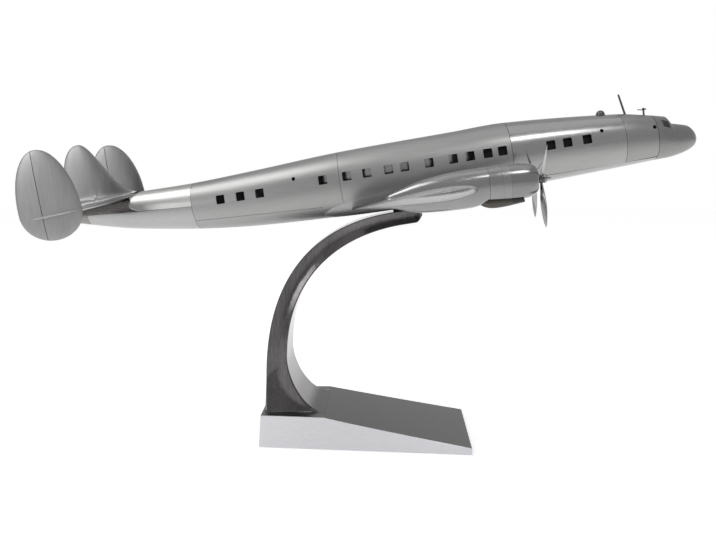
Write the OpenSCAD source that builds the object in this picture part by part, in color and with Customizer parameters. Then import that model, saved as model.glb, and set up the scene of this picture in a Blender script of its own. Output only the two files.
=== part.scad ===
// Desk model of a four-engined, triple-finned propeller airliner in sheet and cast aluminium,
// held nose-up by a curved arm on a wedge base. All sizes are in millimetres.
// Frame: +X towards the nose, +Z up, origin at the middle of the base's underside.
// The airframe is drawn level about its own datum, the cabin's centre, and then pitched up.

/* [Airframe attitude] */
// Height of the cabin's centre above the table
datum_h = 362; // [340:1:400]
// Nose-up angle of the airframe
pitch = 9.2; // [4:0.2:12]
// Lean of the tail unit about the fuselage, as hand fitted
tail_lean = 2; // [0:0.5:4]

/* [Fuselage] */
// Place of the seam behind the wing, from the datum
centre_aft_x = -33; // [-40:1:-28]
// Length of the centre section
centre_l = 224; // [218:1:240]
// Length of the front section
front_l = 146; // [134:1:156]
// Length of the cockpit section
cockpit_l = 42; // [34:1:50]
// Length of the nose cap
nose_l = 56.5; // [50:0.5:66]
// Length of the rear section
rear_l = 202; // [190:1:225]
// Length of the upper tail section
tail_l = 77; // [65:1:90]
// Length of the tail cone
cone_l = 118; // [110:1:126]
// Length of the closed end of the tail cone
cone_end_l = 44; // [36:1:50]
// Greatest diameter of the cabin
cabin_d = 88.4; // [84:0.2:92]
// Diameter at the seam behind the wing
centre_aft_d = 86; // [82:0.5:88]
// Diameter at the seam ahead of the wing
centre_fore_d = 87.4; // [83:0.2:89]
// Diameter at the rear end of the rear section
rear_d = 63.6; // [58:0.2:70]
// Diameter at the rear end of the upper tail section
tail_d = 52; // [48:0.5:56]
// Diameter at the front end of the front section
front_d = 69; // [64:0.5:74]
// Diameter at the nose cap's seam
nose_d = 58.6; // [54:0.2:64]
// Diameter of the tail cone's tip
cone_tip_d = 10; // [6:0.5:14]
// Height of the tail cone's tip above the datum
cone_tip_z = 15; // [10:0.5:20]
// Height of the body's middle at the rear end of the upper tail section
tail_mid_z = 7.4; // [4:0.2:10]
// Height of the body's middle at the rear end of the rear section
rear_mid_z = 1.3; // [-1:0.1:3]
// Height of the body's middle at the front end of the front section
front_mid_z = -2.1; // [-4:0.1:0]
// Height of the body's middle at the nose cap's seam
nose_z = -5.3; // [-8:0.1:-3]
// Thickness of the fuselage skin
skin_t = 2; // [1.2:0.1:3]

/* [Cabin windows] */
// Side of a square window
window_w = 11.5; // [8:0.5:13]
// Corner radius of a window
window_r = 1.2; // [0.4:0.1:2.5]
// Height of the rear windows above the datum
rear_window_z = 6; // [3:0.5:10]
// Height of the centre windows above the datum
centre_window_z = 10; // [5:0.5:14]
// Height of the front windows above the datum
front_window_z = 7.3; // [3:0.5:12]
// Diameter of the small round ports
port_d = 4.8; // [3:0.2:7]

/* [Wing] */
// Half of the wing span
half_span = 469; // [440:1:500]
// Place of the leading edge at the root
root_le_x = 146; // [138:1:154]
// Place of the trailing edge at the root
root_te_x = -24; // [-27:1:-18]
// Place of the leading edge near the tip
tip_le_x = 91; // [84:1:98]
// Place of the trailing edge near the tip
tip_te_x = 39; // [30:1:46]
// Height of the wing's mid plane at the root
root_z = -35; // [-37:0.5:-34]
// Upward slope of the wing
dihedral = 4.4; // [3:0.2:5.6]
// Greatest thickness of the wing at the root
root_t = 24; // [20:0.5:27]
// Greatest thickness of the wing near the tip
tip_t = 5; // [3:0.5:8]
// Length of the rounded wing tip
tip_round = 20; // [10:1:30]

/* [Wing box] */
// Half width of the wing box fairing
fairing_w = 40; // [38:0.5:43]
// Depth of the wing box below the datum
fairing_z = 45.4; // [45:0.1:50]
// Height of the wing box
fairing_h = 24; // [20:0.5:28]
// Reach of the fairing behind the centre section
fairing_aft = 28; // [20:1:40]
// Length of the spar bar
spar_l = 170; // [140:2:190]
// Width of the spar bar
spar_w = 14; // [8:0.5:20]
// Height of the spar bar
spar_h = 7; // [4:0.5:9]

/* [Engines] */
// Distance of the inner engines from the centre line
inner_y = 110; // [106:1:116]
// Distance of the outer engines from the centre line
outer_y = 222; // [214:1:234]
// Place of the inner propellers
inner_x = 200.5; // [195:0.5:205]
// Place of the outer propellers
outer_x = 185; // [180:0.5:190]
// Height of the inner propeller shafts
inner_z = -24; // [-26:0.5:-21]
// Height of the outer propeller shafts
outer_z = -19.8; // [-22:0.1:-16]
// Droop of the thrust lines below the airframe's own line
engine_droop = 3; // [0:0.5:4]
// Greatest diameter of a cowl
cowl_d = 37; // [34:0.2:38.4]
// Diameter of a cowl at its lip
cowl_lip_d = 24; // [22:0.2:27]
// Length of a cowl
cowl_l = 50; // [46:0.5:54]
// Thickness of a cowl's wall
cowl_t = 1.6; // [1:0.1:2.4]
// Length of a nacelle behind its cowl
nacelle_l = 106; // [98:1:112]
// Number of cylinders on each engine
cylinder_n = 9; // [5:1:9]

/* [Propellers] */
// Diameter of a propeller
prop_d = 101; // [90:1:112]
// Number of blades
blade_n = 3; // [2:1:4]
// Widest chord of a blade
blade_w = 9; // [6:0.5:12]
// Diameter of a propeller hub
hub_d = 8.6; // [7.6:0.2:10]
// Length of a propeller hub
hub_l = 5.2; // [4:0.2:7]
// Diameter of a propeller shaft
shaft_d = 3; // [2:0.1:4]
// Where the lowest blade of an outer propeller rests, from straight up
outer_rest = 168; // [150:1:210]
// Where the lowest blade of an inner propeller rests, from straight up
inner_rest = 190; // [150:1:210]
// Radial running clearance of a propeller on its shaft
run_gap = 0.05; // [0.02:0.01:0.09]
// Length of a spinner
spinner_l = 8; // [6:0.5:12]

/* [Tail unit] */
// Height of the tailplane at the fuselage
tail_z = 28.6; // [26:0.2:31]
// Distance of the side fins from the centre line
fin_y = 111; // [100:1:120]
// Distance from the upper tail section back to the widest part of a side fin
fin_back = 75.5; // [70:0.5:80]
// Height of a side fin above the tailplane
fin_up = 78; // [64:1:90]
// Depth of a side fin below the tailplane
fin_down = 34; // [26:1:42]
// Reach of a side fin ahead of its middle
fin_fore = 41.6; // [36:0.2:46]
// Reach of a side fin behind its middle
fin_aft = 39.5; // [34:0.5:45]
// Thickness of a side fin
fin_t = 5; // [3.5:0.5:7]
// Height of the centre fin's top above the datum
centre_fin_z = 109; // [96:1:120]
// Length of the centre fin's foot
centre_fin_l = 102; // [94:1:110]
// Distance from the start of the centre fin back to its top
centre_fin_back = 70; // [60:1:80]
// Thickness of the centre fin
centre_fin_t = 6; // [4:0.5:8]
// Half span of the tailplane
tailplane_y = 125; // [124:1:134]
// Reach of the tailplane ahead of its widest part
tailplane_fore = 58; // [50:1:64]
// Reach of the tailplane behind its widest part
tailplane_aft = 36; // [30:1:42]
// Distance of the tailplane's widest part ahead of a side fin's
tailplane_lead = 7.5; // [4:0.5:11]
// Thickness of the tailplane
tailplane_t = 6; // [4:0.5:8]
// Distance of a rudder's hinge behind the widest part of its fin
rudder_hinge = 8.5; // [4:0.5:14]
// Distance of the elevators' hinge behind the widest part of the tailplane
elevator_hinge = 17; // [12:0.5:22]
// Inner end of the elevator line from the centre
elevator_in = 16; // [8:0.5:30]
// Elevator line stops this far inside the side fins
elevator_out = 2; // [1:0.5:8]
// Width of a hinge groove
groove_w = 0.8; // [0.4:0.1:1.2]
// Depth of a hinge groove
groove_t = 0.5; // [0.2:0.1:0.8]

/* [Roof fittings] */
// Diameter of the observation dome
dome_d = 12; // [8:0.5:16]
// Height of the observation dome
dome_h = 6; // [4:0.5:8]
// Length of the antenna mast
mast_l = 26; // [16:1:36]
// Diameter of the antenna mast at its foot
mast_d = 2.8; // [1.8:0.2:4]
// Height of the tee antenna's post
tee_h = 8; // [5:0.5:12]

/* [Arm] */
// Distance of the arm's back face from the base's rear edge
arm_inset = 11; // [7:1:17]
// Thickness of the arm at its waist
waist_t = 25; // [18:0.5:32]
// Thickness of the arm under the saddle
head_t = 16.3; // [13:0.1:20]
// Half width of the arm at its foot
foot_w = 43; // [34:1:48]
// Half width of the arm under the saddle
head_w = 16; // [14:0.5:20]
// Forward reach of the arm's foot
foot_reach = 49; // [36:1:56]
// Height of the fillet above the foot
foot_rise = 78.7; // [60:1:90]
// Depth of the hollow along the arm's sides
side_hollow = 2.6; // [0:0.2:4]
// Length of the arm's tip beyond the saddle
arm_tip_l = 27; // [20:1:34]

/* [Saddle] */
// Place of the saddle, from the datum
saddle_x = 41; // [34:0.5:46]
// Length of the saddle pad
pad_l = 23; // [20:0.5:26]
// Width of the saddle pad
pad_w = 20; // [12:1:24]
// Thickness of the saddle pad
pad_t = 2.6; // [1:0.1:4]
// Distance between the saddle screws
saddle_pitch = 13; // [11:0.5:15]
// Diameter of the saddle screws
saddle_screw_d = 3; // [2:0.1:4]

/* [Base] */
// Length of the base
base_l = 290; // [270:1:320]
// Width of the base under the arm
base_w = 118; // [104:1:134]
// Width of the base at its thin end
toe_w = 142; // [120:1:160]
// Height of the base under the arm
base_h = 46.3; // [38:0.1:56]
// Height of the base at its thin end
toe_h = 9.6; // [6:0.1:14]
// Length of the flat top under the arm
base_flat = 88; // [82:0.5:96]
// Sag of the sloping top below a straight line
ramp_sag = 6; // [0:0.5:9]
// Draft of the two end faces
end_draft = 3.4; // [0:0.1:6]
// Thickness of the felt
felt_t = 1.2; // [0.6:0.1:2]
// Width of the rim round the felt
felt_rim = 6; // [3:0.5:12]
// Distance between the arm screws
arm_screw_pitch = 46; // [30:1:56]
// Diameter of the arm screws
arm_screw_d = 6; // [4:0.5:8]

/* [Hidden] */

skin_colour = [0.74, 0.75, 0.76];
cast_colour = [0.66, 0.67, 0.69];
polished_colour = [0.5, 0.49, 0.5];
dark_colour = [0.12, 0.12, 0.13];

seat_gap = 0.1; // play of a screw or a bar in its hole
skin_gap = 0.15; // play of a fitted edge over the facets of a skin
ring_n = 32; // facets round the fuselage
overlap = 200; // longer than anything it has to cut through

// Places of the seams along the fuselage
centre_x0 = centre_aft_x;
centre_x1 = centre_x0 + centre_l;
front_x1 = centre_x1 + front_l;
nose_x0 = front_x1 + cockpit_l;
nose_x1 = nose_x0 + nose_l;
rear_x0 = centre_x0 - rear_l;
tail_x0 = rear_x0 - tail_l;
cone_x0 = tail_x0 - cone_l;
cone_x1 = cone_x0 + cone_end_l;
fairing_x0 = centre_x0 - fairing_aft;
fairing_x1 = centre_x1 - 4;

// Heights of the belly seams, as shares of the radius where each one ends
rear_seam = [-0.58, -0.58];
tail_seam = [0.02, 0.04];
front_seam = [-0.73, -0.83];

// Cubic curves and smooth tables
function mix(a, b, t) = a + (b - a) * t;
function bezier(p, t) =
    pow(1 - t, 3) * p[0] + 3 * pow(1 - t, 2) * t * p[1] + 3 * (1 - t) * t * t * p[2] + pow(t, 3) * p[3];
function span(tab, x, i = 0) = i >= len(tab) - 2 || x < tab[i + 1][0] ? i : span(tab, x, i + 1);
function grade(tab, i) =
    let (a = tab[max(i - 1, 0)], b = tab[min(i + 1, len(tab) - 1)])
    (b - a) / (b[0] - a[0]);
function smooth(tab, x) =
    let (i = span(tab, x), a = tab[i], b = tab[i + 1], h = b[0] - a[0], t = (x - a[0]) / h)
    (2 * pow(t, 3) - 3 * t * t + 1) * a + (pow(t, 3) - 2 * t * t + t) * h * grade(tab, i)
    + (3 * t * t - 2 * pow(t, 3)) * b + (pow(t, 3) - t * t) * h * grade(tab, i + 1);

// The fuselage droops at both ends: rows of place, height of the middle, half width, depth below the middle
nose_r = nose_d / 2;
function round_row(x, z, d) = [x, z, d / 2, d / 2];
function nose_row(u, z, w, d) = [nose_x0 + u * nose_l, nose_z + z * nose_r, w * nose_r, (d + z) * nose_r];
body_rows = [
    round_row(cone_x0, cone_tip_z, cone_tip_d),
    round_row(mix(tail_x0, cone_x0, 0.322), mix(tail_mid_z, cone_tip_z, 0.434),
        mix(tail_d, cone_tip_d, 0.21)),
    round_row(tail_x0, tail_mid_z, tail_d),
    round_row(rear_x0, rear_mid_z, rear_d),
    round_row(rear_x0 + rear_l * 0.42, -1.2, mix(rear_d, centre_aft_d, 0.52)),
    round_row(centre_x0, -0.6, centre_aft_d),
    round_row(centre_x0 + centre_l * 0.68, 0.2, cabin_d),
    round_row(centre_x1, 1.6, centre_fore_d),
    round_row(front_x1, front_mid_z, front_d),
    nose_row(0, 0, 1, 1),
    nose_row(0.313, -0.09, 0.89, 0.983),
    nose_row(0.487, -0.18, 0.77, 0.942),
    nose_row(0.713, -0.21, 0.63, 0.843),
    nose_row(0.887, -0.26, 0.43, 0.7),
    nose_row(0.974, -0.3, 0.22, 0.536),
    nose_row(1, -0.325, 0.04, 0.365)];

// Top line: smooth to the windscreen's head, straight down the screen, then smooth over the nose
screen_head = 0.313;
screen_foot = 0.42;
screen_head_rise = 0.853;
screen_foot_rise = 0.515;
roof_rows = concat(
    [for (r = body_rows) if (r[0] <= nose_x0) [r[0], r[1] + r[2]]],
    [[nose_x0 + screen_head * nose_l, nose_z + screen_head_rise * nose_r]]);
bonnet_rows = [
    for (p = [[screen_foot, screen_foot_rise], [0.713, 0.365], [0.817, 0.29], [0.887, 0.174],
        [0.974, -0.075], [1, -0.285]])
        [nose_x0 + p[0] * nose_l, nose_z + p[1] * nose_r]];
head_x = nose_x0 + screen_head * nose_l;
foot_x = nose_x0 + screen_foot * nose_l;
function roof(x) =
    x <= head_x ? smooth(roof_rows, x)[1]
    : x >= foot_x ? smooth(bonnet_rows, x)[1]
    : mix(smooth(roof_rows, head_x)[1], smooth(bonnet_rows, foot_x)[1], (x - head_x) / (foot_x - head_x));

// A section is its middle height, half width, rise above and depth below the middle
function section(x) =
    let (r = smooth(body_rows, x))
    [r[1], r[2], max(roof(x) - r[1], 0.3), r[3]];
function hull_point(x, a, off) =
    let (s = section(x))
    [x, (s[1] + off) * cos(a), s[0] + ((sin(a) >= 0 ? s[2] : s[3]) + off) * sin(a)];

function steps(a, b, n) = [for (i = [0:n]) mix(a, b, i / n)];

// A closed solid through rings of points that run anticlockwise seen from the last ring
module loft(rings) {
    n = len(rings[0]);
    m = len(rings);
    sides = [
        for (i = [0:m - 2], k = [0:n - 1])
            each let (a = i * n + k, b = i * n + (k + 1) % n)
                [[a, a + n, b + n], [a, b + n, b]]];
    caps = [[for (k = [0:n - 1]) k], [for (k = [n - 1:-1:0]) (m - 1) * n + k]];
    polyhedron([for (r = rings) each r], concat(sides, caps), convexity = 6);
}

// A wall between two stacks of rings; shut ones go all the way round, open ones have two long edges
module wall(outer, inner, shut) {
    n = len(outer[0]);
    m = len(outer);
    half = n * m;
    last = shut ? n - 1 : n - 2;
    skins = [
        for (i = [0:m - 2], k = [0:last])
            each let (a = i * n + k, b = i * n + (k + 1) % n)
                [
                    [a, a + n, b + n], [a, b + n, b],
                    [half + a, half + b + n, half + a + n], [half + a, half + b, half + b + n]]];
    ends = [
        for (k = [0:last])
            each let (a = k, b = (k + 1) % n, c = (m - 1) * n + a, d = (m - 1) * n + b)
                [
                    [a, b, half + b], [a, half + b, half + a],
                    [c, half + d, d], [c, half + c, half + d]]];
    edges = shut ? [] : [
        for (i = [0:m - 2])
            each let (a = i * n, b = i * n + n - 1)
                [
                    [a, half + a, half + a + n], [a, half + a + n, a + n],
                    [b, half + b + n, half + b], [b, b + n, half + b + n]]];
    polyhedron([each [for (r = outer) each r], each [for (r = inner) each r]],
        concat(skins, ends, edges), convexity = 8);
}

// Fuselage skin between two angles, which may differ from end to end
module skin(xs, from, to, n, off0, off1) {
    m = len(xs) - 1;
    shut = to[0] - from[0] >= 360;
    function ring(off) = [
        for (i = [0:m])
            [for (k = [0:shut ? n - 1 : n])
                hull_point(xs[i], mix(mix(from[0], from[1], i / m), mix(to[0], to[1], i / m), k / n), off)]];
    wall(ring(off1), ring(off0), shut);
}
module round_skin(xs) skin(xs, [0, 0], [360, 360], ring_n, -skin_t, 0);
module upper_skin(xs, seam) {
    a = [asin(seam[0]), asin(seam[1])];
    skin(xs, a, [180 - a[0], 180 - a[1]], 22, -skin_t, 0);
}
module lower_skin(xs, seam) {
    a = [asin(seam[0]), asin(seam[1])];
    skin(xs, [180 - a[0], 180 - a[1]], [360 + a[0], 360 + a[1]], 14, -skin_t, 0);
}
module hull_solid(xs, off = 0) {
    loft([for (x = xs) [for (k = [0:ring_n - 1]) hull_point(x, k * 360 / ring_n, off)]]);
}

// Stations along each section, shared by all that meets its skin
centre_steps = steps(centre_x0, centre_x1, 5);
front_steps = steps(centre_x1, front_x1, 5);
cockpit_steps = steps(front_x1, nose_x0, 2);
rear_steps = steps(rear_x0, fairing_x0, 5);
tail_steps = steps(tail_x0, rear_x0, 3);
cone_steps = steps(cone_x1, tail_x0, 3);
cone_end_steps = steps(cone_x0, cone_x1, 3);
module airframe() translate([0, 0, datum_h]) rotate([0, -pitch, 0]) children();

// Windows and ports go through both sides of the cabin
rear_windows = [40.7, 68.2, 94.6, 180.3];
centre_windows = [10.1, 36.6, 64.9, 85.8, 117.6, 148.6, 170.4, 193, 211.8];
front_windows = [49.3, 70.7, 95.9];
rear_port = [142, 17.3];
front_port = [116, 14.9];
cockpit_port = [38.2, 8.7];
module window_cut(x, z) {
    translate([x, 0, z]) rotate([90, 0, 0]) linear_extrude(overlap, center = true)
        offset(r = window_r, $fn = 8) square(window_w - 2 * window_r, center = true);
}
module port_cut(x, z) {
    translate([x, 0, z]) rotate([90, 0, 0]) cylinder(h = overlap, d = port_d, center = true, $fn = 24);
}

module centre_section() {
    color(skin_colour) airframe() difference() {
        round_skin(centre_steps);
        for (d = centre_windows) window_cut(centre_x0 + d, centre_window_z);
        wing_box();
    }
}
module front_section() {
    color(skin_colour) airframe() difference() {
        upper_skin(front_steps, front_seam);
        for (d = front_windows) window_cut(centre_x1 + d, front_window_z);
        port_cut(centre_x1 + front_port[0], front_port[1]);
        on_roof(dome_x) cylinder(h = overlap, r = dome_d / 2 + seat_gap, center = true, $fn = 48);
    }
}
module nose_section() {
    color(skin_colour) airframe() difference() {
        upper_skin(cockpit_steps, [front_seam[1], front_seam[1]]);
        port_cut(front_x1 + cockpit_port[0], cockpit_port[1]);
        mast_place() cylinder(h = fitting_sink * 2, r = mast_d / 2 + seat_gap, center = true, $fn = 24);
        on_roof(tee_x) cylinder(h = fitting_sink * 2, r = tee_d / 2 + seat_gap, center = true, $fn = 24);
    }
}
module nose_cap() {
    us = [0, 0.16, screen_head, screen_foot, 0.62, 0.75, 0.86, 0.94, 0.982, 1];
    color(skin_colour) airframe() difference() {
        hull_solid([for (u = us) nose_x0 + u * nose_l]);
        panes(pane_gap, 3);
    }
}
module rear_section() {
    color(skin_colour) airframe() difference() {
        union() {
            upper_skin(rear_steps, rear_seam);
            round_skin([fairing_x0, centre_x0]);
        }
        for (d = rear_windows) window_cut(rear_x0 + d, d > rear_l * 0.6 ? centre_window_z : rear_window_z);
        port_cut(rear_x0 + rear_port[0], rear_port[1]);
    }
}
module tail_section() color(skin_colour) airframe() upper_skin(tail_steps, tail_seam);
module tail_cone() {
    color(skin_colour) airframe() difference() {
        union() {
            upper_skin(cone_steps, [tail_seam[0], tail_seam[0]]);
            hull_solid(cone_end_steps);
        }
        tailplane();
    }
}
module belly_front() {
    color(skin_colour) airframe() {
        lower_skin(front_steps, front_seam);
        lower_skin(cockpit_steps, [front_seam[1], front_seam[1]]);
    }
}
module belly_rear() color(skin_colour) airframe() lower_skin(rear_steps, rear_seam);
module belly_tail() {
    color(skin_colour) airframe() difference() {
        union() {
            lower_skin(cone_steps, [tail_seam[0], tail_seam[0]]);
            lower_skin(tail_steps, tail_seam);
        }
        tailplane();
    }
}
// Hoops inside the skin, which carry the sections across their seams
module joint_rings() {
    ring_l = 8;
    ring_t = 2;
    color(cast_colour) airframe() for (x = [rear_x0, centre_x0, centre_x1, front_x1]) {
        z = section(x)[0];
        room = [
            for (e = [-1, 1])
                let (s = section(x + e * ring_l / 2))
                min(s[1], s[2], s[3]) - abs(s[0] - z)];
        r = (min(room) - skin_t) * cos(180 / ring_n) - skin_gap;
        translate([x, 0, z]) rotate([0, 90, 0]) difference() {
            cylinder(h = ring_l, r = r, center = true, $fn = 64);
            cylinder(h = 2 * ring_l, r = r - ring_t, center = true, $fn = 64);
        }
    }
}

// Wing box under the cabin: boxy rings that shrink at both ends
function box_ring(x, w, top, bottom) = [
    for (k = [0:19])
        let (a = k * 18, c = cos(a), s = sin(a), e = 0.4)
        [x, sign(c) * pow(abs(c), e) * w,
            (top + bottom) / 2 + sign(s) * pow(abs(s), e) * (top - bottom) / 2]];
box_rows = [
    [0, 0.8, 0.16], [0.02, 0.88, 0.1], [0.08, 0.96, 0.04], [0.18, 1, 0], [0.86, 1, 0], [1, 0.84, 0.2]];
module wing_box_blank() {
    top = fairing_h - fairing_z;
    loft([
        for (r = box_rows)
            box_ring(mix(fairing_x0, fairing_x1, r[0]), fairing_w * r[1],
                top - fairing_h * r[2], -fairing_z + fairing_h * r[2])]);
}
module wing_box() {
    difference() {
        wing_box_blank();
        hull_solid([fairing_x0 - 10, fairing_x0, centre_x0, centre_x0 + 8]);
    }
}
module spar_bar(gap) {
    translate([(root_le_x + root_te_x) / 2 + 20, 0, root_z - 2])
        cube([spar_w + 2 * gap, spar_l + 2 * gap, spar_h + 2 * gap], center = true);
}
function saddle_holes() = [saddle_x - saddle_pitch / 2, saddle_x + saddle_pitch / 2];
saddle_screw_up = 12;
module wing_fairing() {
    color(skin_colour) airframe() difference() {
        wing_box();
        spar_bar(seat_gap);
        for (x = saddle_holes()) translate([x, 0, -fairing_z - 1])
            cylinder(h = saddle_screw_up + 1.5, r = saddle_screw_d / 2 + seat_gap, $fn = 32);
    }
}
module wing_spar() color(cast_colour) airframe() spar_bar(0);

// Wing: a symmetrical section of named thickness, with a rounded tip
function camber_half(u) =
    5 * (0.2969 * sqrt(u) - 0.126 * u - 0.3516 * u * u + 0.2843 * pow(u, 3) - 0.1036 * pow(u, 4));
wing_n = 16;
wing_y0 = 30;
tip_y0 = half_span - tip_round;
function wing_ring(y) =
    let (
        t = (y - wing_y0) / (tip_y0 - wing_y0),
        f = y <= tip_y0 ? 1 : sqrt(max(1 - pow((y - tip_y0) / tip_round, 2), 0.02)),
        le = mix(root_le_x, tip_le_x, t), te = mix(root_te_x, tip_te_x, t),
        mid = (le + te) / 2, c = (le - te) * f, thick = mix(root_t, tip_t, min(t, 1)) * f,
        z = root_z + (y - wing_y0) * tan(dihedral))
    [for (k = [0:wing_n - 1])
        let (b = k * 360 / wing_n, u = (1 + cos(b)) / 2)
        [mid + c / 2 - u * c, y, z + sign(sin(b)) * camber_half(u) * thick]];
wing_steps = concat([wing_y0, inner_y, outer_y, mix(outer_y, tip_y0, 0.5)],
    [for (u = [0, 0.4, 0.75, 0.93, 1]) tip_y0 + tip_round * u]);
module wing_solid(n) loft([for (i = [0:n - 1]) wing_ring(wing_steps[i])]);
module wing() {
    color(cast_colour) airframe() difference() {
        wing_solid(len(wing_steps));
        wing_box_blank();
        hull_solid([for (i = [0:4]) centre_steps[i]]);
        spar_bar(seat_gap);
    }
}
module wing_port() wing();
module wing_starboard() mirror([0, 1, 0]) wing();

// Engines: each is drawn about its propeller's centre; side is 1 for port and -1 for starboard
inner_hub = [inner_x, inner_y, inner_z];
outer_hub = [outer_x, outer_y, outer_z];
lip_x = -4;
firewall_x = lip_x - cowl_l;
cowl_r = cowl_d / 2;
lip_r = cowl_lip_d / 2;
module place(hub, side)
    airframe() translate([hub[0], side * hub[1], hub[2]]) rotate([0, engine_droop, 0]) children();

// Nacelle: rows of share of length, half width, rise and depth as shares of the cowl's radius
nacelle_rows = [
    [0, 0.935, 0.935, 0.935], [0.13, 0.96, 0.96, 1.13], [0.3, 0.94, 0.97, 1.14], [0.5, 0.82, 0.9, 1.08],
    [0.68, 0.62, 0.74, 0.96], [0.88, 0.34, 0.42, 0.6], [1, 0.14, 0.2, 0.32]];
function nacelle_ring(u) =
    let (r = cowl_r * smooth(nacelle_rows, u))
    [for (k = [0:17])
        let (a = k * 20)
        [firewall_x - u * nacelle_l, r[1] * cos(a),
            (sin(a) >= 0 ? r[2] : r[3]) * sin(a) - u * nacelle_l * sin(engine_droop)]];
module nacelle_blank() loft([for (u = [1, 0.88, 0.72, 0.5, 0.3, 0.13, 0.05, 0]) nacelle_ring(u)]);
module nacelle(hub, side) {
    color(cast_colour) difference() {
        place(hub, side) nacelle_blank();
        airframe() mirror([0, side < 0 ? 1 : 0, 0]) wing_solid(4);
    }
}

// Cowl: rows of share of its length from the lip, and share of the way from the lip's to the full radius
cowl_rows = [
    [0, -0.14], [0.012, 0.05], [0.03, 0.25], [0.06, 0.47], [0.1, 0.63], [0.16, 0.78], [0.26, 0.91],
    [0.4, 1], [0.6, 1], [0.8, 0.93], [1, 0.82]];
cowl_wall_row = 3; // the first row whose wall is whole
function cowl_at(u) = mix(lip_r, cowl_r, lookup(u, cowl_rows));
function cowl_outline() = [for (r = cowl_rows) [cowl_at(r[0]), lip_x - r[0] * cowl_l]];
module cowl(hub, side) {
    seam_x = lip_x - cowl_l * 0.5;
    seam_t = 0.4;
    color(skin_colour) place(hub, side) rotate([0, 90, 0]) difference() {
        rotate_extrude($fn = 64) polygon(concat(cowl_outline(), [
            for (i = [len(cowl_rows) - 1:-1:cowl_wall_row])
                cowl_outline()[i] - [cowl_t, 0]],
            [[cowl_at(0) - 0.6, lip_x - 0.6]]));
        translate([0, 0, seam_x]) difference() {
            cylinder(h = 0.6, r = cowl_r + 1, $fn = 64);
            translate([0, 0, -1]) cylinder(h = 3, r = cowl_r - seam_t, $fn = 64);
        }
    }
}

// Scoop: rows of place, half width and depth under the cowl, with an open mouth
scoop_rows = [
    [0, 0.08, 0.02], [0.05, 0.16, 0.12], [0.16, 0.26, 0.27], [0.31, 0.35, 0.35], [0.56, 0.42, 0.33],
    [0.81, 0.43, 0.25], [1, 0.4, 0.18]];
scoop_l = 47;
scoop_x1 = lip_x - 14;
scoop_sink = 6;
module scoop_loft(rows, thin) {
    loft([
        for (r = rows)
            [for (k = [0:11])
                let (a = k * 30)
                [scoop_x1 + (r[0] - 1) * scoop_l, (cowl_r * r[1] - thin) * cos(a),
                    -cowl_r + scoop_sink * max(sin(a), 0) + (cowl_r * r[2] - thin) * min(sin(a), 0)]]]);
}
module scoop(hub, side) {
    mouth = [[0.72, 0.42, 0.27], [0.81, 0.43, 0.25], [1.01, 0.4, 0.18]];
    color(skin_colour) place(hub, side) difference() {
        scoop_loft(scoop_rows, 0);
        scoop_loft(mouth, 1);
        rotate([0, 90, 0]) rotate_extrude($fn = 64)
            polygon(concat([[0, lip_x]], cowl_outline(), [[0, firewall_x]]));
        nacelle_blank();
    }
}

// Engine: crankcase, cylinders, gear case and the plate that centres it in the cowl
case_x = -13;
plate_x = -40;
plate_t = 3;
module engine(hub, side) {
    plate_r = cowl_at((lip_x - plate_x + plate_t) / cowl_l) - cowl_t - seat_gap;
    color(dark_colour) place(hub, side) {
        rotate([0, 90, 0]) rotate_extrude($fn = 48) polygon([
            [0, firewall_x], [5, firewall_x], [5, plate_x - plate_t], [plate_r, plate_x - plate_t],
            [plate_r, plate_x], [6, plate_x], [6, -26], [5.4, -22], [4, -16], [2.4, case_x], [0, case_x]]);
        for (i = [0:cylinder_n - 1]) rotate([i * 360 / cylinder_n, 0, 0])
            translate([-33, 0, 5]) cylinder(h = 7.2, d = 4.4, $fn = 24);
    }
}

// Shaft: held by the gear case, with a collar behind the hub and a head inside the spinner
head_gap = 0.3;
head_l = 1.2;
head_r = shaft_d / 2 + 1;
module shaft(hub, side) {
    color(cast_colour) place(hub, side) rotate([0, 90, 0]) {
        translate([0, 0, case_x]) cylinder(h = hub_l / 2 + head_gap + head_l - case_x, d = shaft_d, $fn = 48);
        translate([0, 0, case_x])
            cylinder(h = -hub_l / 2 - head_gap - case_x, r = shaft_d / 2 + 0.8, $fn = 48);
        translate([0, 0, hub_l / 2 + head_gap]) cylinder(h = head_l, r = head_r, $fn = 48);
    }
}

// Blade: slim, twisted and pointed; rows of share of radius, chord and thickness, and pitch
blade_rows = [
    [0.06, 0.3, 0.3, -62], [0.24, 0.56, 0.24, -52], [0.46, 0.94, 0.18, -42], [0.72, 0.95, 0.12, -33],
    [0.9, 0.6, 0.08, -28], [0.99, 0.12, 0.06, -26]];
function blade_ring(r) = [
    for (k = [0:7])
        let (a = k * 45, c = cos(a) * blade_w * r[1] / 2, t = sin(a) * blade_w * r[2] / 2)
        [c * cos(r[3]) - t * sin(r[3]), c * sin(r[3]) + t * cos(r[3]), r[0] * prop_d / 2]];
module propeller(hub, side, rest) {
    color(cast_colour) place(hub, side) {
        difference() {
            union() {
                rotate([0, 90, 0]) cylinder(h = hub_l, d = hub_d, center = true, $fn = 48);
                for (i = [0:blade_n - 1]) rotate([rest + i * 360 / blade_n, 0, 0]) rotate([0, 0, 90])
                    loft([for (r = blade_rows) blade_ring(r)]);
            }
            rotate([0, 90, 0]) cylinder(h = 3 * hub_l, r = shaft_d / 2 + run_gap, center = true, $fn = 48);
        }
    }
}
module spinner(hub, side) {
    r = hub_d / 2 + 0.3;
    cavity = head_gap * 2 + head_l;
    color(polished_colour) place(hub, side) translate([hub_l / 2, 0, 0]) rotate([0, 90, 0])
        rotate_extrude($fn = 48) polygon([
            [head_r + head_gap, 0], [r, 0], [r, 1.2], [r - 0.7, 2.6], [r - 2, 3.6], [1.5, 4.2],
            [0.8, spinner_l - 0.6], [0, spinner_l], [0, cavity], [head_r + head_gap, cavity]]);
}

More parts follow.
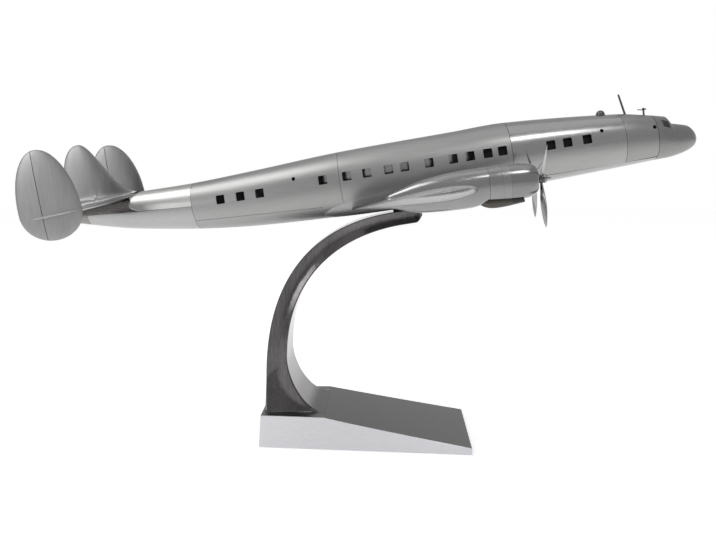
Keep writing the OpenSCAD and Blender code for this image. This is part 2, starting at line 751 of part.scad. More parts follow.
// Tail unit: each surface is a lens, built from its own outline drawn smaller and smaller
lens_rows = [[-1, 0.4], [-0.7, 0.8], [0, 1], [0.7, 0.8], [1, 0.4]];
module lens(points, centre, thick) {
    loft([
        for (r = lens_rows)
            [for (p = points) let (q = centre + (p - centre) * r[1]) [q[0], q[1], r[0] * thick / 2]]]);
}
module upright() rotate([90, 0, 0]) children();
function egg(cx, cz, fore, aft, up, down, n) = [
    for (k = [0:n - 1])
        let (a = k * 360 / n)
        [cx + cos(a) * (cos(a) > 0 ? fore : aft), cz + sin(a) * (sin(a) > 0 ? up : down)]];
module lean() translate([0, 0, tail_z]) rotate([tail_lean, 0, 0]) children();

fin_x = tail_x0 - fin_back;
tailplane_x = fin_x + tailplane_lead;
tailplane_points = [
    for (k = [0:23])
        let (a = k * 15, c = cos(a), s = sin(a), e = c > 0 ? 0.87 : 0.5)
        [tailplane_x + pow(abs(c), e) * (c > 0 ? tailplane_fore : -tailplane_aft),
            sign(s) * pow(abs(s), e) * tailplane_y]];
module tailplane() lean() lens(tailplane_points, [tailplane_x, 0], tailplane_t);
module stabilizer() {
    color(cast_colour) airframe() difference() {
        tailplane();
        difference() {
            lean() for (s = [-1, 1])
                translate([tailplane_x - elevator_hinge, s * (fin_y - elevator_out + elevator_in) / 2, 0])
                    cube([groove_w, fin_y - elevator_out - elevator_in, 2 * tailplane_t], center = true);
            lean() lens(tailplane_points, [tailplane_x, 0], tailplane_t - 2 * groove_t);
        }
    }
}
module side_fin_lens(thick) {
    upright() lens(egg(fin_x, 0, fin_fore, fin_aft, fin_up, fin_down, 24), [fin_x, 0], thick);
}
module side_fin(side) {
    color(cast_colour) airframe() difference() {
        lean() translate([0, side * fin_y, 0]) difference() {
            side_fin_lens(fin_t);
            difference() {
                translate([fin_x - rudder_hinge, 0, 0]) rotate([0, 2.4, 0])
                    cube([groove_w, 2 * fin_t, 3 * fin_up], center = true);
                side_fin_lens(fin_t - 2 * groove_t);
            }
        }
        tailplane();
    }
}
module fin_port() side_fin(1);
module fin_starboard() side_fin(-1);

// Centre fin: a sweeping leading edge from the dorsal fillet and a full trailing edge
fin_foot_z = 6;
centre_fin_x = tail_x0;
centre_fin_points = let (
    z1 = centre_fin_z - tail_z,
    top = centre_fin_x - centre_fin_back,
    rear = centre_fin_x - centre_fin_l,
    fore = [[centre_fin_x, fin_foot_z], [mix(centre_fin_x, top, 0.31), fin_foot_z + 1.4],
        [mix(centre_fin_x, top, 0.54), 0.66 * z1], [top, z1]],
    aft = [[top, z1], [top - 20, z1 + 1], [rear - 3, 0.64 * z1], [rear, 1.4]])
    concat([for (i = [0:9]) bezier(fore, i / 10)], [for (i = [0:8]) bezier(aft, i / 8)],
        [[rear, 0], [mix(centre_fin_x, rear, 0.18), 0]]);
module fin_centre() {
    color(cast_colour) airframe() difference() {
        lean() upright() lens(centre_fin_points, [centre_fin_x - 0.6 * centre_fin_l, 0], centre_fin_t);
        hull_solid(concat(cone_end_steps, [for (i = [1:len(cone_steps) - 1]) cone_steps[i]]), skin_gap);
        tailplane();
    }
}

// Roof fittings, each with its foot in a hole through the skin, and the windscreen
fitting_sink = skin_t + 2;
dome_x = front_x1 - 20;
mast_x = front_x1 + 11.4;
mast_taper = 0.85;
tee_x = nose_x0 - 6.5;
tee_d = 2.4;
module on_roof(x) translate([x, 0, roof(x)]) children();
module mast_place() on_roof(mast_x) rotate([0, -13, 0]) children();
module astrodome() {
    r = dome_d / 2;
    color(dark_colour) airframe() on_roof(dome_x) rotate_extrude($fn = 48) polygon(concat(
        [[0, -fitting_sink], [r, -fitting_sink]],
        [for (i = [0:8]) [r * cos(i * 11.25), dome_h * sin(i * 11.25)]]));
}
module antenna_mast() {
    color(dark_colour) airframe() mast_place() {
        translate([0, 0, -fitting_sink]) cylinder(h = fitting_sink, d = mast_d, $fn = 24);
        cylinder(h = mast_l, d1 = mast_d, d2 = mast_d * mast_taper, $fn = 24);
        translate([0, 0, mast_l]) sphere(d = mast_d * mast_taper, $fn = 24);
    }
}
module tee_antenna() {
    color(dark_colour) airframe() on_roof(tee_x) {
        translate([0, 0, -fitting_sink]) cylinder(h = tee_h + fitting_sink, d = tee_d, $fn = 24);
        translate([0, 0, tee_h]) sphere(d = tee_d * 1.4, $fn = 24);
        translate([0, 0, tee_h * 0.55]) rotate([0, -62, 0]) cylinder(h = tee_h, d = tee_d * 0.6, $fn = 24);
        translate([0, 0, tee_h * 0.7]) rotate([0, 60, 0])
            cylinder(h = tee_h * 0.5, d = tee_d * 0.7, $fn = 24);
    }
}
// Panes of the windscreen, from their own depth up to proud, or their recesses when grown by a gap
pane_depth = 0.8;
pane_proud = 0.25;
pane_gap = 0.15;
side_pane_l = 8;
module pane(x0, x1, from, to, grow, proud) {
    turn = 2.5 * grow;
    skin(steps(x0 - grow, x1 + grow, 2), [from[0] - turn, from[1] - turn], [to[0] + turn, to[1] + turn], 4,
        -pane_depth - grow, proud);
}
module panes(grow, proud) {
    for (s = [0, 1]) mirror([0, s, 0]) {
        pane(mix(head_x, foot_x, 0.12), mix(head_x, foot_x, 0.88), [56, 54], [87, 87], grow, proud);
        pane(head_x - 1 - side_pane_l, head_x - 1, [30, 26], [52, 48], grow, proud);
    }
}
module windscreen() color(dark_colour) airframe() panes(0, pane_proud);

// Stand: the saddle follows the airframe's attitude, and the arm ends under it
function to_row(p) = [p[0] * cos(pitch) - p[1] * sin(pitch), datum_h + p[0] * sin(pitch) + p[1] * cos(pitch)];
along = [cos(pitch), sin(pitch)];
seat_z = -fairing_z - pad_t;
seat_back_x = saddle_x - pad_l / 2 - 2.5;
belly_back_x = saddle_x;
seat_back = to_row([seat_back_x, seat_z]);
belly_back = to_row([belly_back_x, seat_z - head_t]);
arm_back_x = arm_inset - base_l / 2;
arm_in_x = arm_back_x + waist_t;
outer_curve = [
    [arm_back_x, base_h + foot_rise - 20], [arm_back_x, base_h + foot_rise + 101],
    seat_back - 122 * along, seat_back];
inner_curve = [
    [arm_in_x, base_h + foot_rise], [arm_in_x, base_h + foot_rise + 100],
    belly_back - 88 * along, belly_back];
// A station of the arm is its outer point, its inner point and its half width
function foot_station(s) =
    let (a = 90 * (1 - s))
    [
        [arm_back_x, mix(base_h, outer_curve[0][1], s)],
        [arm_in_x + foot_reach * (1 - cos(a)), base_h + foot_rise * (1 - sin(a))],
        mix(foot_w, foot_w * 0.76, pow(s, 0.8))];
function arch_station(t) =
    [bezier(outer_curve, t), bezier(inner_curve, t), mix(foot_w * 0.76, head_w, pow(t, 0.9))];
function tip_station(u) =
    let (
        pad_end = saddle_x + pad_l / 2, tip = saddle_x + arm_tip_l,
        out_x = mix(seat_back_x, tip, u), in_x = mix(belly_back_x, tip, u),
        v = max(0, (out_x - pad_end) / (tip - pad_end)), drop = (head_t / 2 - 1) * pow(v, 1.6))
    [to_row([out_x, seat_z - drop]), to_row([in_x, seat_z - head_t + drop]), mix(head_w, 2, pow(v, 2.2))];
arm_stations = concat(
    [for (s = [0, 0.06, 0.14, 0.26, 0.42, 0.6, 0.8]) foot_station(s)],
    [for (i = [0:11]) arch_station(i / 11)],
    [for (u = [0.3, 0.6, 0.7, 0.8, 0.88, 0.95, 1]) tip_station(u)]);
// Each ring has a flat back and front, crisp edges and hollow sides
edge_round = 1.2;
function arm_ring(st) =
    let (
        o = st[0], i = st[1], w = st[2], h = side_hollow * min(1, w / head_w * 0.9),
        half = [[0, w - edge_round], [0.05, w], [0.26, w - h * 0.75], [0.5, w - h], [0.74, w - h * 0.75],
            [0.95, w], [1, w - edge_round]],
        right = [for (p = half) let (q = mix(o, i, p[0])) [q[0], max(p[1], 0.2), q[1]]])
    concat(right, [for (k = [len(right) - 1:-1:0]) [right[k][0], -right[k][1], right[k][2]]]);
screw_seat_z = 20;
arm_screw_up = 16;
arm_screw_x = arm_back_x + 20;
head_seat = head_t - 7;
module stand_arm() {
    color(polished_colour) difference() {
        loft([for (st = arm_stations) arm_ring(st)]);
        for (s = [-1, 1]) translate([arm_screw_x, s * arm_screw_pitch / 2, base_h - 1])
            cylinder(h = arm_screw_up + 1.5, r = arm_screw_d / 2 + seat_gap, $fn = 32);
        airframe() for (x = saddle_holes()) {
            translate([x, 0, seat_z - 2 * head_t])
                cylinder(h = 3 * head_t, r = saddle_screw_d / 2 + seat_gap, $fn = 32);
            translate([x, 0, seat_z - head_seat - 2 * head_t])
                cylinder(h = 2 * head_t, r = saddle_screw_d + seat_gap, $fn = 32);
        }
    }
}
module saddle_pad() {
    color(dark_colour) airframe() difference() {
        translate([saddle_x, 0, -fairing_z - pad_t / 2]) cube([pad_l, pad_w, pad_t], center = true);
        for (x = saddle_holes()) translate([x, 0, -fairing_z - 2 * pad_t])
            cylinder(h = 4 * pad_t, r = saddle_screw_d / 2 + seat_gap, $fn = 32);
    }
}
// Socket-head screw that points up from the middle of its head's seat
module socket_screw(d, up, down) {
    difference() {
        union() {
            translate([0, 0, -0.01]) cylinder(h = up + 0.01, d = d, $fn = 32);
            translate([0, 0, -down]) cylinder(h = down, d = 2 * d - 0.4, $fn = 32);
        }
        translate([0, 0, -down - 1]) cylinder(h = down * 0.6 + 1, d = d, $fn = 6);
    }
}
module saddle_screws() {
    color(dark_colour) airframe() for (x = saddle_holes()) translate([x, 0, seat_z - head_seat])
        socket_screw(saddle_screw_d, head_seat + pad_t + saddle_screw_up, 3);
}
module arm_screws() {
    color(dark_colour) for (s = [-1, 1]) translate([arm_screw_x, s * arm_screw_pitch / 2, screw_seat_z])
        socket_screw(arm_screw_d, base_h - screw_seat_z + arm_screw_up, arm_screw_d);
}

// Base: a wedge whose slope sags a little, drawn from the side and cut to a tapered plan
ramp_x = base_flat - base_l / 2;
function ramp(t) =
    let (
        a = [ramp_x, base_h], b = [base_l / 2 - end_draft * toe_h / base_h, toe_h],
        m = (a + b) / 2 - [0, 2 * ramp_sag])
    pow(1 - t, 2) * a + 2 * t * (1 - t) * m + t * t * b;
module plan(inset) {
    x = base_l / 2 - inset;
    polygon([
        [-x, base_w / 2 - inset], [-x, inset - base_w / 2],
        [x, inset - toe_w / 2], [x, toe_w / 2 - inset]]);
}
module base_wedge() {
    color(skin_colour) difference() {
        intersection() {
            rotate([90, 0, 0]) linear_extrude(2 * toe_w, center = true) polygon(concat(
                [[base_l / 2, 0], [-base_l / 2, 0], [-base_l / 2 + end_draft, base_h]],
                [for (i = [0:10]) ramp(i / 10)]));
            linear_extrude(2 * base_h) plan(0);
        }
        translate([0, 0, -1]) linear_extrude(felt_t + 1) plan(felt_rim);
        for (s = [-1, 1]) translate([arm_screw_x, s * arm_screw_pitch / 2, 0]) {
            cylinder(h = 2 * base_h, r = arm_screw_d / 2 + seat_gap, $fn = 32);
            cylinder(h = screw_seat_z, r = arm_screw_d + seat_gap, $fn = 32);
        }
    }
}
module base_felt() color([0.1, 0.12, 0.11]) linear_extrude(felt_t) plan(felt_rim + seat_gap);

base_wedge();
base_felt();
arm_screws();
stand_arm();
saddle_pad();
saddle_screws();
nose_cap();
nose_section();
front_section();
centre_section();
rear_section();
tail_section();
tail_cone();
belly_front();
belly_rear();
belly_tail();
joint_rings();
wing_fairing();
wing_spar();
wing_port();
wing_starboard();
windscreen();
astrodome();
antenna_mast();
tee_antenna();
nacelle(outer_hub, 1);  // nacelle_outer_port
nacelle(inner_hub, 1);  // nacelle_inner_port
nacelle(inner_hub, -1);  // nacelle_inner_starboard
nacelle(outer_hub, -1);  // nacelle_outer_starboard
cowl(outer_hub, 1);  // cowl_outer_port
cowl(inner_hub, 1);  // cowl_inner_port
cowl(inner_hub, -1);  // cowl_inner_starboard
cowl(outer_hub, -1);  // cowl_outer_starboard
scoop(outer_hub, 1);  // scoop_outer_port
scoop(inner_hub, 1);  // scoop_inner_port
scoop(inner_hub, -1);  // scoop_inner_starboard
scoop(outer_hub, -1);  // scoop_outer_starboard
engine(outer_hub, 1);  // engine_outer_port
engine(inner_hub, 1);  // engine_inner_port
engine(inner_hub, -1);  // engine_inner_starboard
engine(outer_hub, -1);  // engine_outer_starboard
shaft(outer_hub, 1);  // shaft_outer_port
shaft(inner_hub, 1);  // shaft_inner_port
shaft(inner_hub, -1);  // shaft_inner_starboard
shaft(outer_hub, -1);  // shaft_outer_starboard
propeller(outer_hub, 1, outer_rest);  // propeller_outer_port
propeller(inner_hub, 1, inner_rest);  // propeller_inner_port
propeller(inner_hub, -1, inner_rest);  // propeller_inner_starboard
propeller(outer_hub, -1, outer_rest);  // propeller_outer_starboard
spinner(outer_hub, 1);  // spinner_outer_port
spinner(inner_hub, 1);  // spinner_inner_port
spinner(inner_hub, -1);  // spinner_inner_starboard
spinner(outer_hub, -1);  // spinner_outer_starboard
stabilizer();
fin_centre();
fin_port();
fin_starboard();
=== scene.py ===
from math import atan2, copysign, cos, dist, hypot, pi, radians, sin, sqrt, tan

import bmesh
import bpy
from mathutils import Matrix, Vector


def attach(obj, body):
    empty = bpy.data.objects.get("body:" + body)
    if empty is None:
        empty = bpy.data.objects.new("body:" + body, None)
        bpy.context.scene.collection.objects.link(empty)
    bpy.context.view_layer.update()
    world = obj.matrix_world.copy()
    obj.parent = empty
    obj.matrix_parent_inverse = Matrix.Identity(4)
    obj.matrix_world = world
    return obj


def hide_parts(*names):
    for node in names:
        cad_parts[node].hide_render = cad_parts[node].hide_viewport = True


# Desk model of a propeller airliner in bare aluminium, on a curved arm and a wedge base.
# Everything is drawn in millimetres and then placed: the airframe about its own datum, the stand on the table.
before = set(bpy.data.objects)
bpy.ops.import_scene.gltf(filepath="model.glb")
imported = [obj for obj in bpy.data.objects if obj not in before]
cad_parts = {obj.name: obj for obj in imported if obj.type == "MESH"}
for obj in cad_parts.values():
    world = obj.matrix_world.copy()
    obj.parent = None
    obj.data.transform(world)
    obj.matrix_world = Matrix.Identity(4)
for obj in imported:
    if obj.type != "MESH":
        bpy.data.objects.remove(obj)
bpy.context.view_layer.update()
print("frame loaded:", len(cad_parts), "nodes")


# shared tools for places, tables, shapes and finished pieces
def move(x, y, z):
    return Matrix.Translation((x, y, z))


def turned(degrees, axis):
    return Matrix.Rotation(radians(degrees), 4, axis)


attitude = dict(datumHeight=362.0, pitch=9.2, tailLean=2.0, engineDroop=3.0)
onTable = Matrix.Scale(0.001, 4)
airframe = move(0, 0, attitude["datumHeight"] / 1000) @ turned(-attitude["pitch"], "Y") @ onTable
sides = {"port": 1, "starboard": -1}


def mix(a, b, t):
    return a + (b - a) * t


def evenly(a, b, step):
    count = max(1, round(abs(b - a) / step))
    return [mix(a, b, i / count) for i in range(count + 1)]


def squared(value, power):
    # bends a circle's sine or cosine towards a square's
    return copysign(abs(value) ** power, value)


def smoothRow(rows, x):
    # rows start with their place; the curve through them is smooth
    i = 0
    while i < len(rows) - 2 and x >= rows[i + 1][0]:
        i += 1

    def slope(k):
        a, b = rows[max(k - 1, 0)], rows[min(k + 1, len(rows) - 1)]
        return [(q - p) / (b[0] - a[0]) for p, q in zip(a, b)]

    a, b = rows[i], rows[i + 1]
    h = b[0] - a[0]
    t = (x - a[0]) / h
    return [
        (2 * t**3 - 3 * t * t + 1) * p + (t**3 - 2 * t * t + t) * h * m
        + (3 * t * t - 2 * t**3) * q + (t**3 - t * t) * h * n
        for p, q, m, n in zip(a, b, slope(i), slope(i + 1))
    ]


def smoothProfile(points, step):
    # more points on a profile that should read as a curve
    rows = [(0.0, *points[0])]
    for a, b in zip(points, points[1:]):
        rows.append((rows[-1][0] + dist(a, b), *b))
    return [tuple(smoothRow(rows, s)[1:]) for s in evenly(0, rows[-1][0], step)]


def bezierPoint(points, t):
    shares = ((1 - t) ** 3, 3 * (1 - t) ** 2 * t, 3 * (1 - t) * t * t, t**3)
    return [sum(share * point[k] for share, point in zip(shares, points)) for k in (0, 1)]


def ringOf(bm, segments, place):
    # a circle whose points are then set by place(cosine, sine)
    verts = bmesh.ops.create_circle(bm, segments=segments, radius=1.0)["verts"]
    edges = list({edge for vert in verts for edge in vert.link_edges})
    for vert in verts:
        vert.co = place(vert.co.x, vert.co.y)
    return edges


def loft(stations, segments, placeAt, caps=(0, -1)):
    # a ring at each station, set by the place that placeAt gives, and bridged to the next; caps close its ends
    bm = bmesh.new()
    rings = [ringOf(bm, segments, placeAt(station)) for station in stations]
    for a, b in zip(rings, rings[1:]):
        bmesh.ops.bridge_loops(bm, edges=a + b)
    for end in caps:
        bmesh.ops.contextual_create(bm, geom=rings[end])
    return bm


def nearestPoint(c, s, count):
    # which of count points round an outline lies in this direction
    return round((atan2(s, c) / (2 * pi)) % 1 * count) % count


def boxAt(bm, place, size):
    return bmesh.ops.create_cube(bm, size=1.0, matrix=place @ Matrix.Diagonal((*size, 1)))["verts"]


def rodAt(bm, place, wide, length, segments=24):
    # stands on its place, along Z
    bmesh.ops.create_cone(bm, cap_ends=True, segments=segments, radius1=wide / 2, radius2=wide / 2, depth=length,
                          matrix=place @ move(0, 0, length / 2))


def spun(points, segments):
    # points are (radius, place along X); those on the axis are welded
    bm = bmesh.new()
    verts = [bm.verts.new((x, r, 0)) for r, x in points]
    edges = [bm.edges.new(pair) for pair in zip(verts, verts[1:])]
    bmesh.ops.spin(
        bm, geom=verts + edges, cent=(0, 0, 0), axis=(1, 0, 0), angle=2 * pi,
        steps=segments, use_merge=True, use_duplicate=False)
    bmesh.ops.remove_doubles(bm, verts=bm.verts, dist=1e-4)
    return bm


def cutAway(bm, point, normal):
    # removes what lies on the normal's side of the plane
    bmesh.ops.bisect_plane(
        bm, geom=bm.verts[:] + bm.edges[:] + bm.faces[:], dist=1e-6,
        plane_co=point, plane_no=normal, clear_outer=True)


def facesOut(bm):
    bmesh.ops.recalc_face_normals(bm, faces=bm.faces)


def placed(bm, matrix):
    bmesh.ops.transform(bm, matrix=matrix, verts=bm.verts)
    return bm


def joinInto(whole, bm, weld=0.0):
    mesh = bpy.data.meshes.new("joined")
    bm.to_mesh(mesh)
    bm.free()
    whole.from_mesh(mesh)
    if weld:
        bmesh.ops.remove_doubles(whole, verts=whole.verts, dist=weld)


def linkObject(name, data):
    made = bpy.data.objects.new(name, data)
    bpy.context.scene.collection.objects.link(made)
    return made


def rawPiece(name, bm, place, *finishNames):
    mesh = bpy.data.meshes.new(name)
    placed(bm, place).to_mesh(mesh)
    bm.free()
    for finish in finishNames:
        mesh.materials.append(finishes[finish])
    return linkObject(name, mesh)


def paintFaces(faces, choose):
    for face in faces:
        face.material_index = int(choose(face))


def applyModifiers(piece):
    graph = bpy.context.evaluated_depsgraph_get()
    mesh = bpy.data.meshes.new_from_object(piece.evaluated_get(graph))
    piece.modifiers.clear()
    piece.data = mesh


def setAll(made, **settings):
    for name, value in settings.items():
        setattr(made, name, value)
    return made


def modify(piece, kind, **settings):
    setAll(piece.modifiers.new(kind, kind), **settings)


def thicken(piece, thick, insideFinish=0):
    modify(piece, "SOLIDIFY", thickness=thick / 1000, offset=-1, material_offset=insideFinish)


def soften(piece, wide, segments, sharp):
    modify(piece, "BEVEL", width=wide / 1000, segments=segments, limit_method="ANGLE", angle_limit=radians(sharp))


def subtract(piece, cutter, materialMode="INDEX"):
    modify(piece, "BOOLEAN", operation="DIFFERENCE", solver="EXACT", material_mode=materialMode, object=cutter)
    applyModifiers(piece)
    bpy.data.objects.remove(cutter)


def carve(piece, bm, place):
    # cuts bm's closed shapes out of the piece and paints the cut faces near black, as painted shade in the openings
    # and grooves
    facesOut(bm)
    subtract(piece, rawPiece("cutter", bm, place, "grooveDark"), "TRANSFER")


def finishPiece(piece, node, slotName, sharp=38, body="display_model"):
    piece.data.shade_smooth()
    piece.data.set_sharp_from_angle(angle=radians(sharp))
    modify(piece, "WEIGHTED_NORMAL", keep_sharp=True, weight=50)
    applyModifiers(piece)
    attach(piece, body)
    if node:
        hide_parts(node)
    return piece


def solidPiece(name, bm, place, finishNames, node, slotName, bevel=0.0, **others):
    facesOut(bm)
    piece = rawPiece(name, bm, place, *finishNames)
    if bevel:
        soften(piece, bevel, 3, others.get("sharp", 38))
        applyModifiers(piece)
    return finishPiece(piece, node, slotName, **others)


# materials
def setInputs(node, values):
    for name, value in values.items():
        node.inputs[name].default_value = value


def addNode(tree, kind, values={}, **settings):
    # the settings come first, because some of them change the inputs
    made = setAll(tree.nodes.new("ShaderNode" + kind), **settings)
    setInputs(made, values)
    return made


def linkNodes(tree, *links):
    for source, given, target, taken in links:
        tree.links.new(source.outputs[given], target.inputs[taken])


def makeGrainGroup():
    # fine lines of a brushed finish, that run along X of the vector given
    group = bpy.data.node_groups.new("brushedGrain", "ShaderNodeTree")
    sockets = group.interface
    sockets.new_socket("Vector", in_out="INPUT", socket_type="NodeSocketVector")
    for name, value in (("Fineness", 900), ("Contrast", 0.12), ("Blotch Size", 22)):
        sockets.new_socket(name, in_out="INPUT", socket_type="NodeSocketFloat").default_value = value
    for name in ("Tone", "Rough", "Height", "Waves"):
        sockets.new_socket(name, in_out="OUTPUT", socket_type="NodeSocketFloat")
    source = group.nodes.new("NodeGroupInput")
    out = group.nodes.new("NodeGroupOutput")
    long = addNode(group, "Mapping", {"Scale": (0.035, 1, 1)})
    lines = addNode(group, "TexNoise", {"Detail": 3, "Roughness": 0.6})
    short = addNode(group, "Mapping", {"Scale": (0.3, 1, 1)})
    blotch = addNode(group, "TexNoise", {"Detail": 4, "Roughness": 0.55})
    both = addNode(group, "Mix", {"Factor": 0.55})
    tone = addNode(group, "MapRange", {"From Min": 0.3, "From Max": 0.7})
    low = addNode(group, "Math", {0: 1.0}, operation="SUBTRACT")
    rough = addNode(group, "MapRange", {"From Min": 0.3, "From Max": 0.7})
    linkNodes(
        group, (source, "Vector", long, "Vector"), (long, 0, lines, "Vector"),
        (source, "Fineness", lines, "Scale"), (source, "Vector", short, "Vector"), (short, 0, blotch, "Vector"),
        (source, "Blotch Size", blotch, "Scale"), (lines, 0, both, "A"), (blotch, 0, both, "B"),
        (both, "Result", tone, "Value"), (source, "Contrast", low, 1), (low, 0, tone, "To Min"),
        (both, "Result", rough, "Value"), (tone, 0, out, "Tone"), (rough, 0, out, "Rough"),
        (lines, 0, out, "Height"), (blotch, 0, out, "Waves"))
    return group


grainGroup = makeGrainGroup()


def newMaterial(name, values):
    made = bpy.data.materials.new(name)
    made.use_nodes = True
    shader = made.node_tree.nodes["Principled BSDF"]
    setInputs(shader, values)
    return made, made.node_tree, shader


def metal(name, colour, rough, turn, contrast=0.14, blotch=22, bump=0.25, waves=0.0, metallic=1.0,
          roughSpan=0.1, fineness=900):
    made, tree, shader = newMaterial(name, {"Metallic": metallic})
    place = addNode(tree, "TexCoord")
    lined = addNode(tree, "Mapping", {"Rotation": [radians(a) for a in turn]})
    grain = addNode(tree, "Group", {"Fineness": fineness, "Contrast": contrast, "Blotch Size": blotch},
                    node_tree=grainGroup)
    tint = addNode(tree, "Mix", {"A": (0, 0, 0, 1), "B": (*colour, 1)}, data_type="RGBA")
    span = addNode(tree, "MapRange", {"To Min": rough - roughSpan / 2, "To Max": rough + roughSpan / 2})
    relief = addNode(tree, "Bump", {"Strength": bump, "Distance": 0.0002})
    swell = addNode(tree, "Bump", {"Strength": waves, "Distance": 0.002})
    linkNodes(
        tree, (place, "Object", lined, "Vector"), (lined, 0, grain, "Vector"), (grain, "Tone", tint, "Factor"),
        (tint, "Result", shader, "Base Color"), (grain, "Rough", span, "Value"), (span, 0, shader, "Roughness"),
        (grain, "Height", relief, "Height"), (grain, "Waves", swell, "Height"), (swell, 0, relief, "Normal"),
        (relief, 0, shader, "Normal"))
    return made


# each look: colour, roughness, the turn of its lines, contrast, blotch size, bump, waves, metallic,
# span of roughness and fineness; what a row leaves out is as in metal
along, across, upright, plain = (0, attitude["pitch"], 0), (0, 0, 90), (0, 90, 0), (0, 0, 0)
looks = {
    "centreSkin": ((0.4, 0.4, 0.395), 0.42, along, 0.18),
    "frontSkin": ((0.41, 0.41, 0.405), 0.25, along, 0.18, 22, 0.15, 0.15),
    "noseSkin": ((0.36, 0.36, 0.355), 0.36, along, 0.16),
    "noseCap": ((0.34, 0.34, 0.335), 0.32, along, 0.35, 40),
    # painted highlight: the upper tail skin is painted lighter than the other skins to brighten its highlight
    "tailSkinLightPainted": ((0.6, 0.605, 0.585), 0.36, along, 0.24, 22, 0.18, 0.3),
    "tailBelly": ((0.44, 0.435, 0.44), 0.3, along, 0.2, 22, 0.15),
    # painted shade: the tail cone is painted dark brown for the shade of the fins and tailplane over it
    "coneSkinShadePainted": ((0.3, 0.28, 0.27), 0.26, along, 0.3, 22, 0.15, 0.3),
    "wingTop": ((0.46, 0.46, 0.46), 0.3, across, 0.14, 12, 0.03, 0.2),
    # painted shade: the wing's underside is a darker copy of the top's finish
    "wingUnder": ((0.19, 0.19, 0.19), 0.3, across, 0.2, 12, 0.03, 0.4),
    "castWing": ((0.35, 0.35, 0.35), 0.24, along, 0.2, 26, 0.03, 0.5),
    "cowlSkin": ((0.3, 0.3, 0.3), 0.2, along, 0.16, 22, 0.1, 0.15),
    "cowlBand": ((0.34, 0.335, 0.335), 0.27, along, 0.16, 22, 0.1, 0.15),
    # painted shade: the scoop under the cowl is painted dark for the shade it lies in
    "scoopDark": ((0.12, 0.11, 0.095), 0.34, along, 0.3, 22, 0.15),
    "finPlate": ((0.38, 0.38, 0.385), 0.34, upright, 0.34, 12, 0.08, 0.5),
    # painted shade: the edges of the fins and tailplane are painted near black
    "finRimShadePainted": ((0.1, 0.1, 0.1), 0.35, upright, 0.2),
    # painted highlight: the tailplane's tips beyond the fins are painted pale
    "tipHighlightPainted": ((0.75, 0.73, 0.72), 0.35, along, 0.1),
    "armPolish": ((0.2, 0.19, 0.19), 0.18, upright, 0.75, 14, 0.03, 0.8, 1.0, 0.06),
    "armEdge": ((0.23, 0.225, 0.23), 0.09, upright, 0.25, 14, 0.03, 0.2, 1.0, 0.06),
    "baseSatin": ((0.61, 0.61, 0.63), 0.28, plain, 0.14, 8, 0.1),
    # painted shade: the base's top is a darker copy of its sides' finish
    "baseTop": ((0.21, 0.21, 0.205), 0.3, plain, 0.1, 8, 0.1),
    "bladeMetal": ((0.45, 0.45, 0.45), 0.25, upright, 0.3, 30, 0.06),
    "screwSteel": ((0.4, 0.4, 0.4), 0.3, plain, 0.1),
    # dark metal of the dome and antennas; on the joint rings it is painted shade in the seam gaps
    "darkMetal": ((0.14, 0.14, 0.135), 0.34, plain, 0.2, 60),
    # painted shade: the propeller's hub is painted dark for the shade between cowl lip and propeller
    "hubDark": ((0.14, 0.135, 0.135), 0.3, plain, 0.2, 60),
    "engineBlack": ((0.1, 0.1, 0.1), 0.45, plain, 0.3, 90, 0.25, 0.0, 0.7),
    # painted shade: near black for the walls of cut openings, grooves and the scoop's mouth
    "grooveDark": ((0.05, 0.05, 0.05), 0.6, plain, 0.3, 90, 0.25, 0.0, 0.2),
    # painted shade: near black for the skins' inside faces and for the sheet that darkens the front cabin
    "insideShadePainted": ((0.03, 0.03, 0.03), 0.7, plain, 0.3, 60, 0.25, 0.0, 0.2),
    "darkGlass": ((0.03, 0.03, 0.035), 0.12, plain, 0.3, 60, 0.0, 0.0, 0.0),
    # painted shade: a grey see-through sheet that dims the view through the cabin windows
    "cabinShadeFilm": ((0.46, 0.46, 0.46), 0.2, plain, 0.1, 60, 0.0, 0.0, 0.0),
    "padRubber": ((0.03, 0.03, 0.03), 0.6, plain, 0.4, 200, 0.25, 0.0, 0.0),
    "underFelt": ((0.04, 0.055, 0.045), 0.9, plain, 0.5, 400, 0.6, 0.0, 0.0, 0.1, 1800),
}
finishes = {name: metal(name, *look) for name, look in looks.items()}
setInputs(finishes["cabinShadeFilm"].node_tree.nodes["Principled BSDF"], {"Transmission Weight": 1.0, "IOR": 1.2})
print("materials made:", len(finishes))


# fuselage: one drooping tube, cut into its skins
fuselage = dict(
    centreAft=-33.0, centreLength=224.0, frontLength=146.0, cockpitLength=42.0, noseLength=56.5,
    rearLength=202.0, tailLength=77.0, coneLength=118.0, coneEnd=44.0, fairingAft=28.0,
    cabin=88.4, centreAftWide=86.0, centreForeWide=87.4, rearWide=63.6, tailWide=52.0,
    frontWide=69.0, noseWide=58.6, coneTip=10.0, rearMiddle=1.3, foreMiddle=1.6,
    frontMiddle=-2.1, noseMiddle=-5.3, tailMiddle=7.4, skin=2.0, rim=0.3, segments=128,
    step=5.0, seamGap=0.4, bellyGap=0.5, coneSink=1.0, tipRound=4.6, tongue=12.0,
    tongueFoot=9.0, tongueEdge=3.2, tongueTuck=2.4, windowSide=11.5, windowRound=1.2, port=4.8,
)
centreAft = fuselage["centreAft"]
centreFore = centreAft + fuselage["centreLength"]
frontFore = centreFore + fuselage["frontLength"]
noseAft = frontFore + fuselage["cockpitLength"]
noseTip = noseAft + fuselage["noseLength"]
rearAft = centreAft - fuselage["rearLength"]
tailAft = rearAft - fuselage["tailLength"]
coneTip = tailAft - fuselage["coneLength"]
coneFore = coneTip + fuselage["coneEnd"]
fairingRear = centreAft - fuselage["fairingAft"]
fairingFront = centreFore - 4
noseRadius, noseMiddle = fuselage["noseWide"] / 2, fuselage["noseMiddle"]
step, half = fuselage["step"], fuselage["seamGap"] / 2


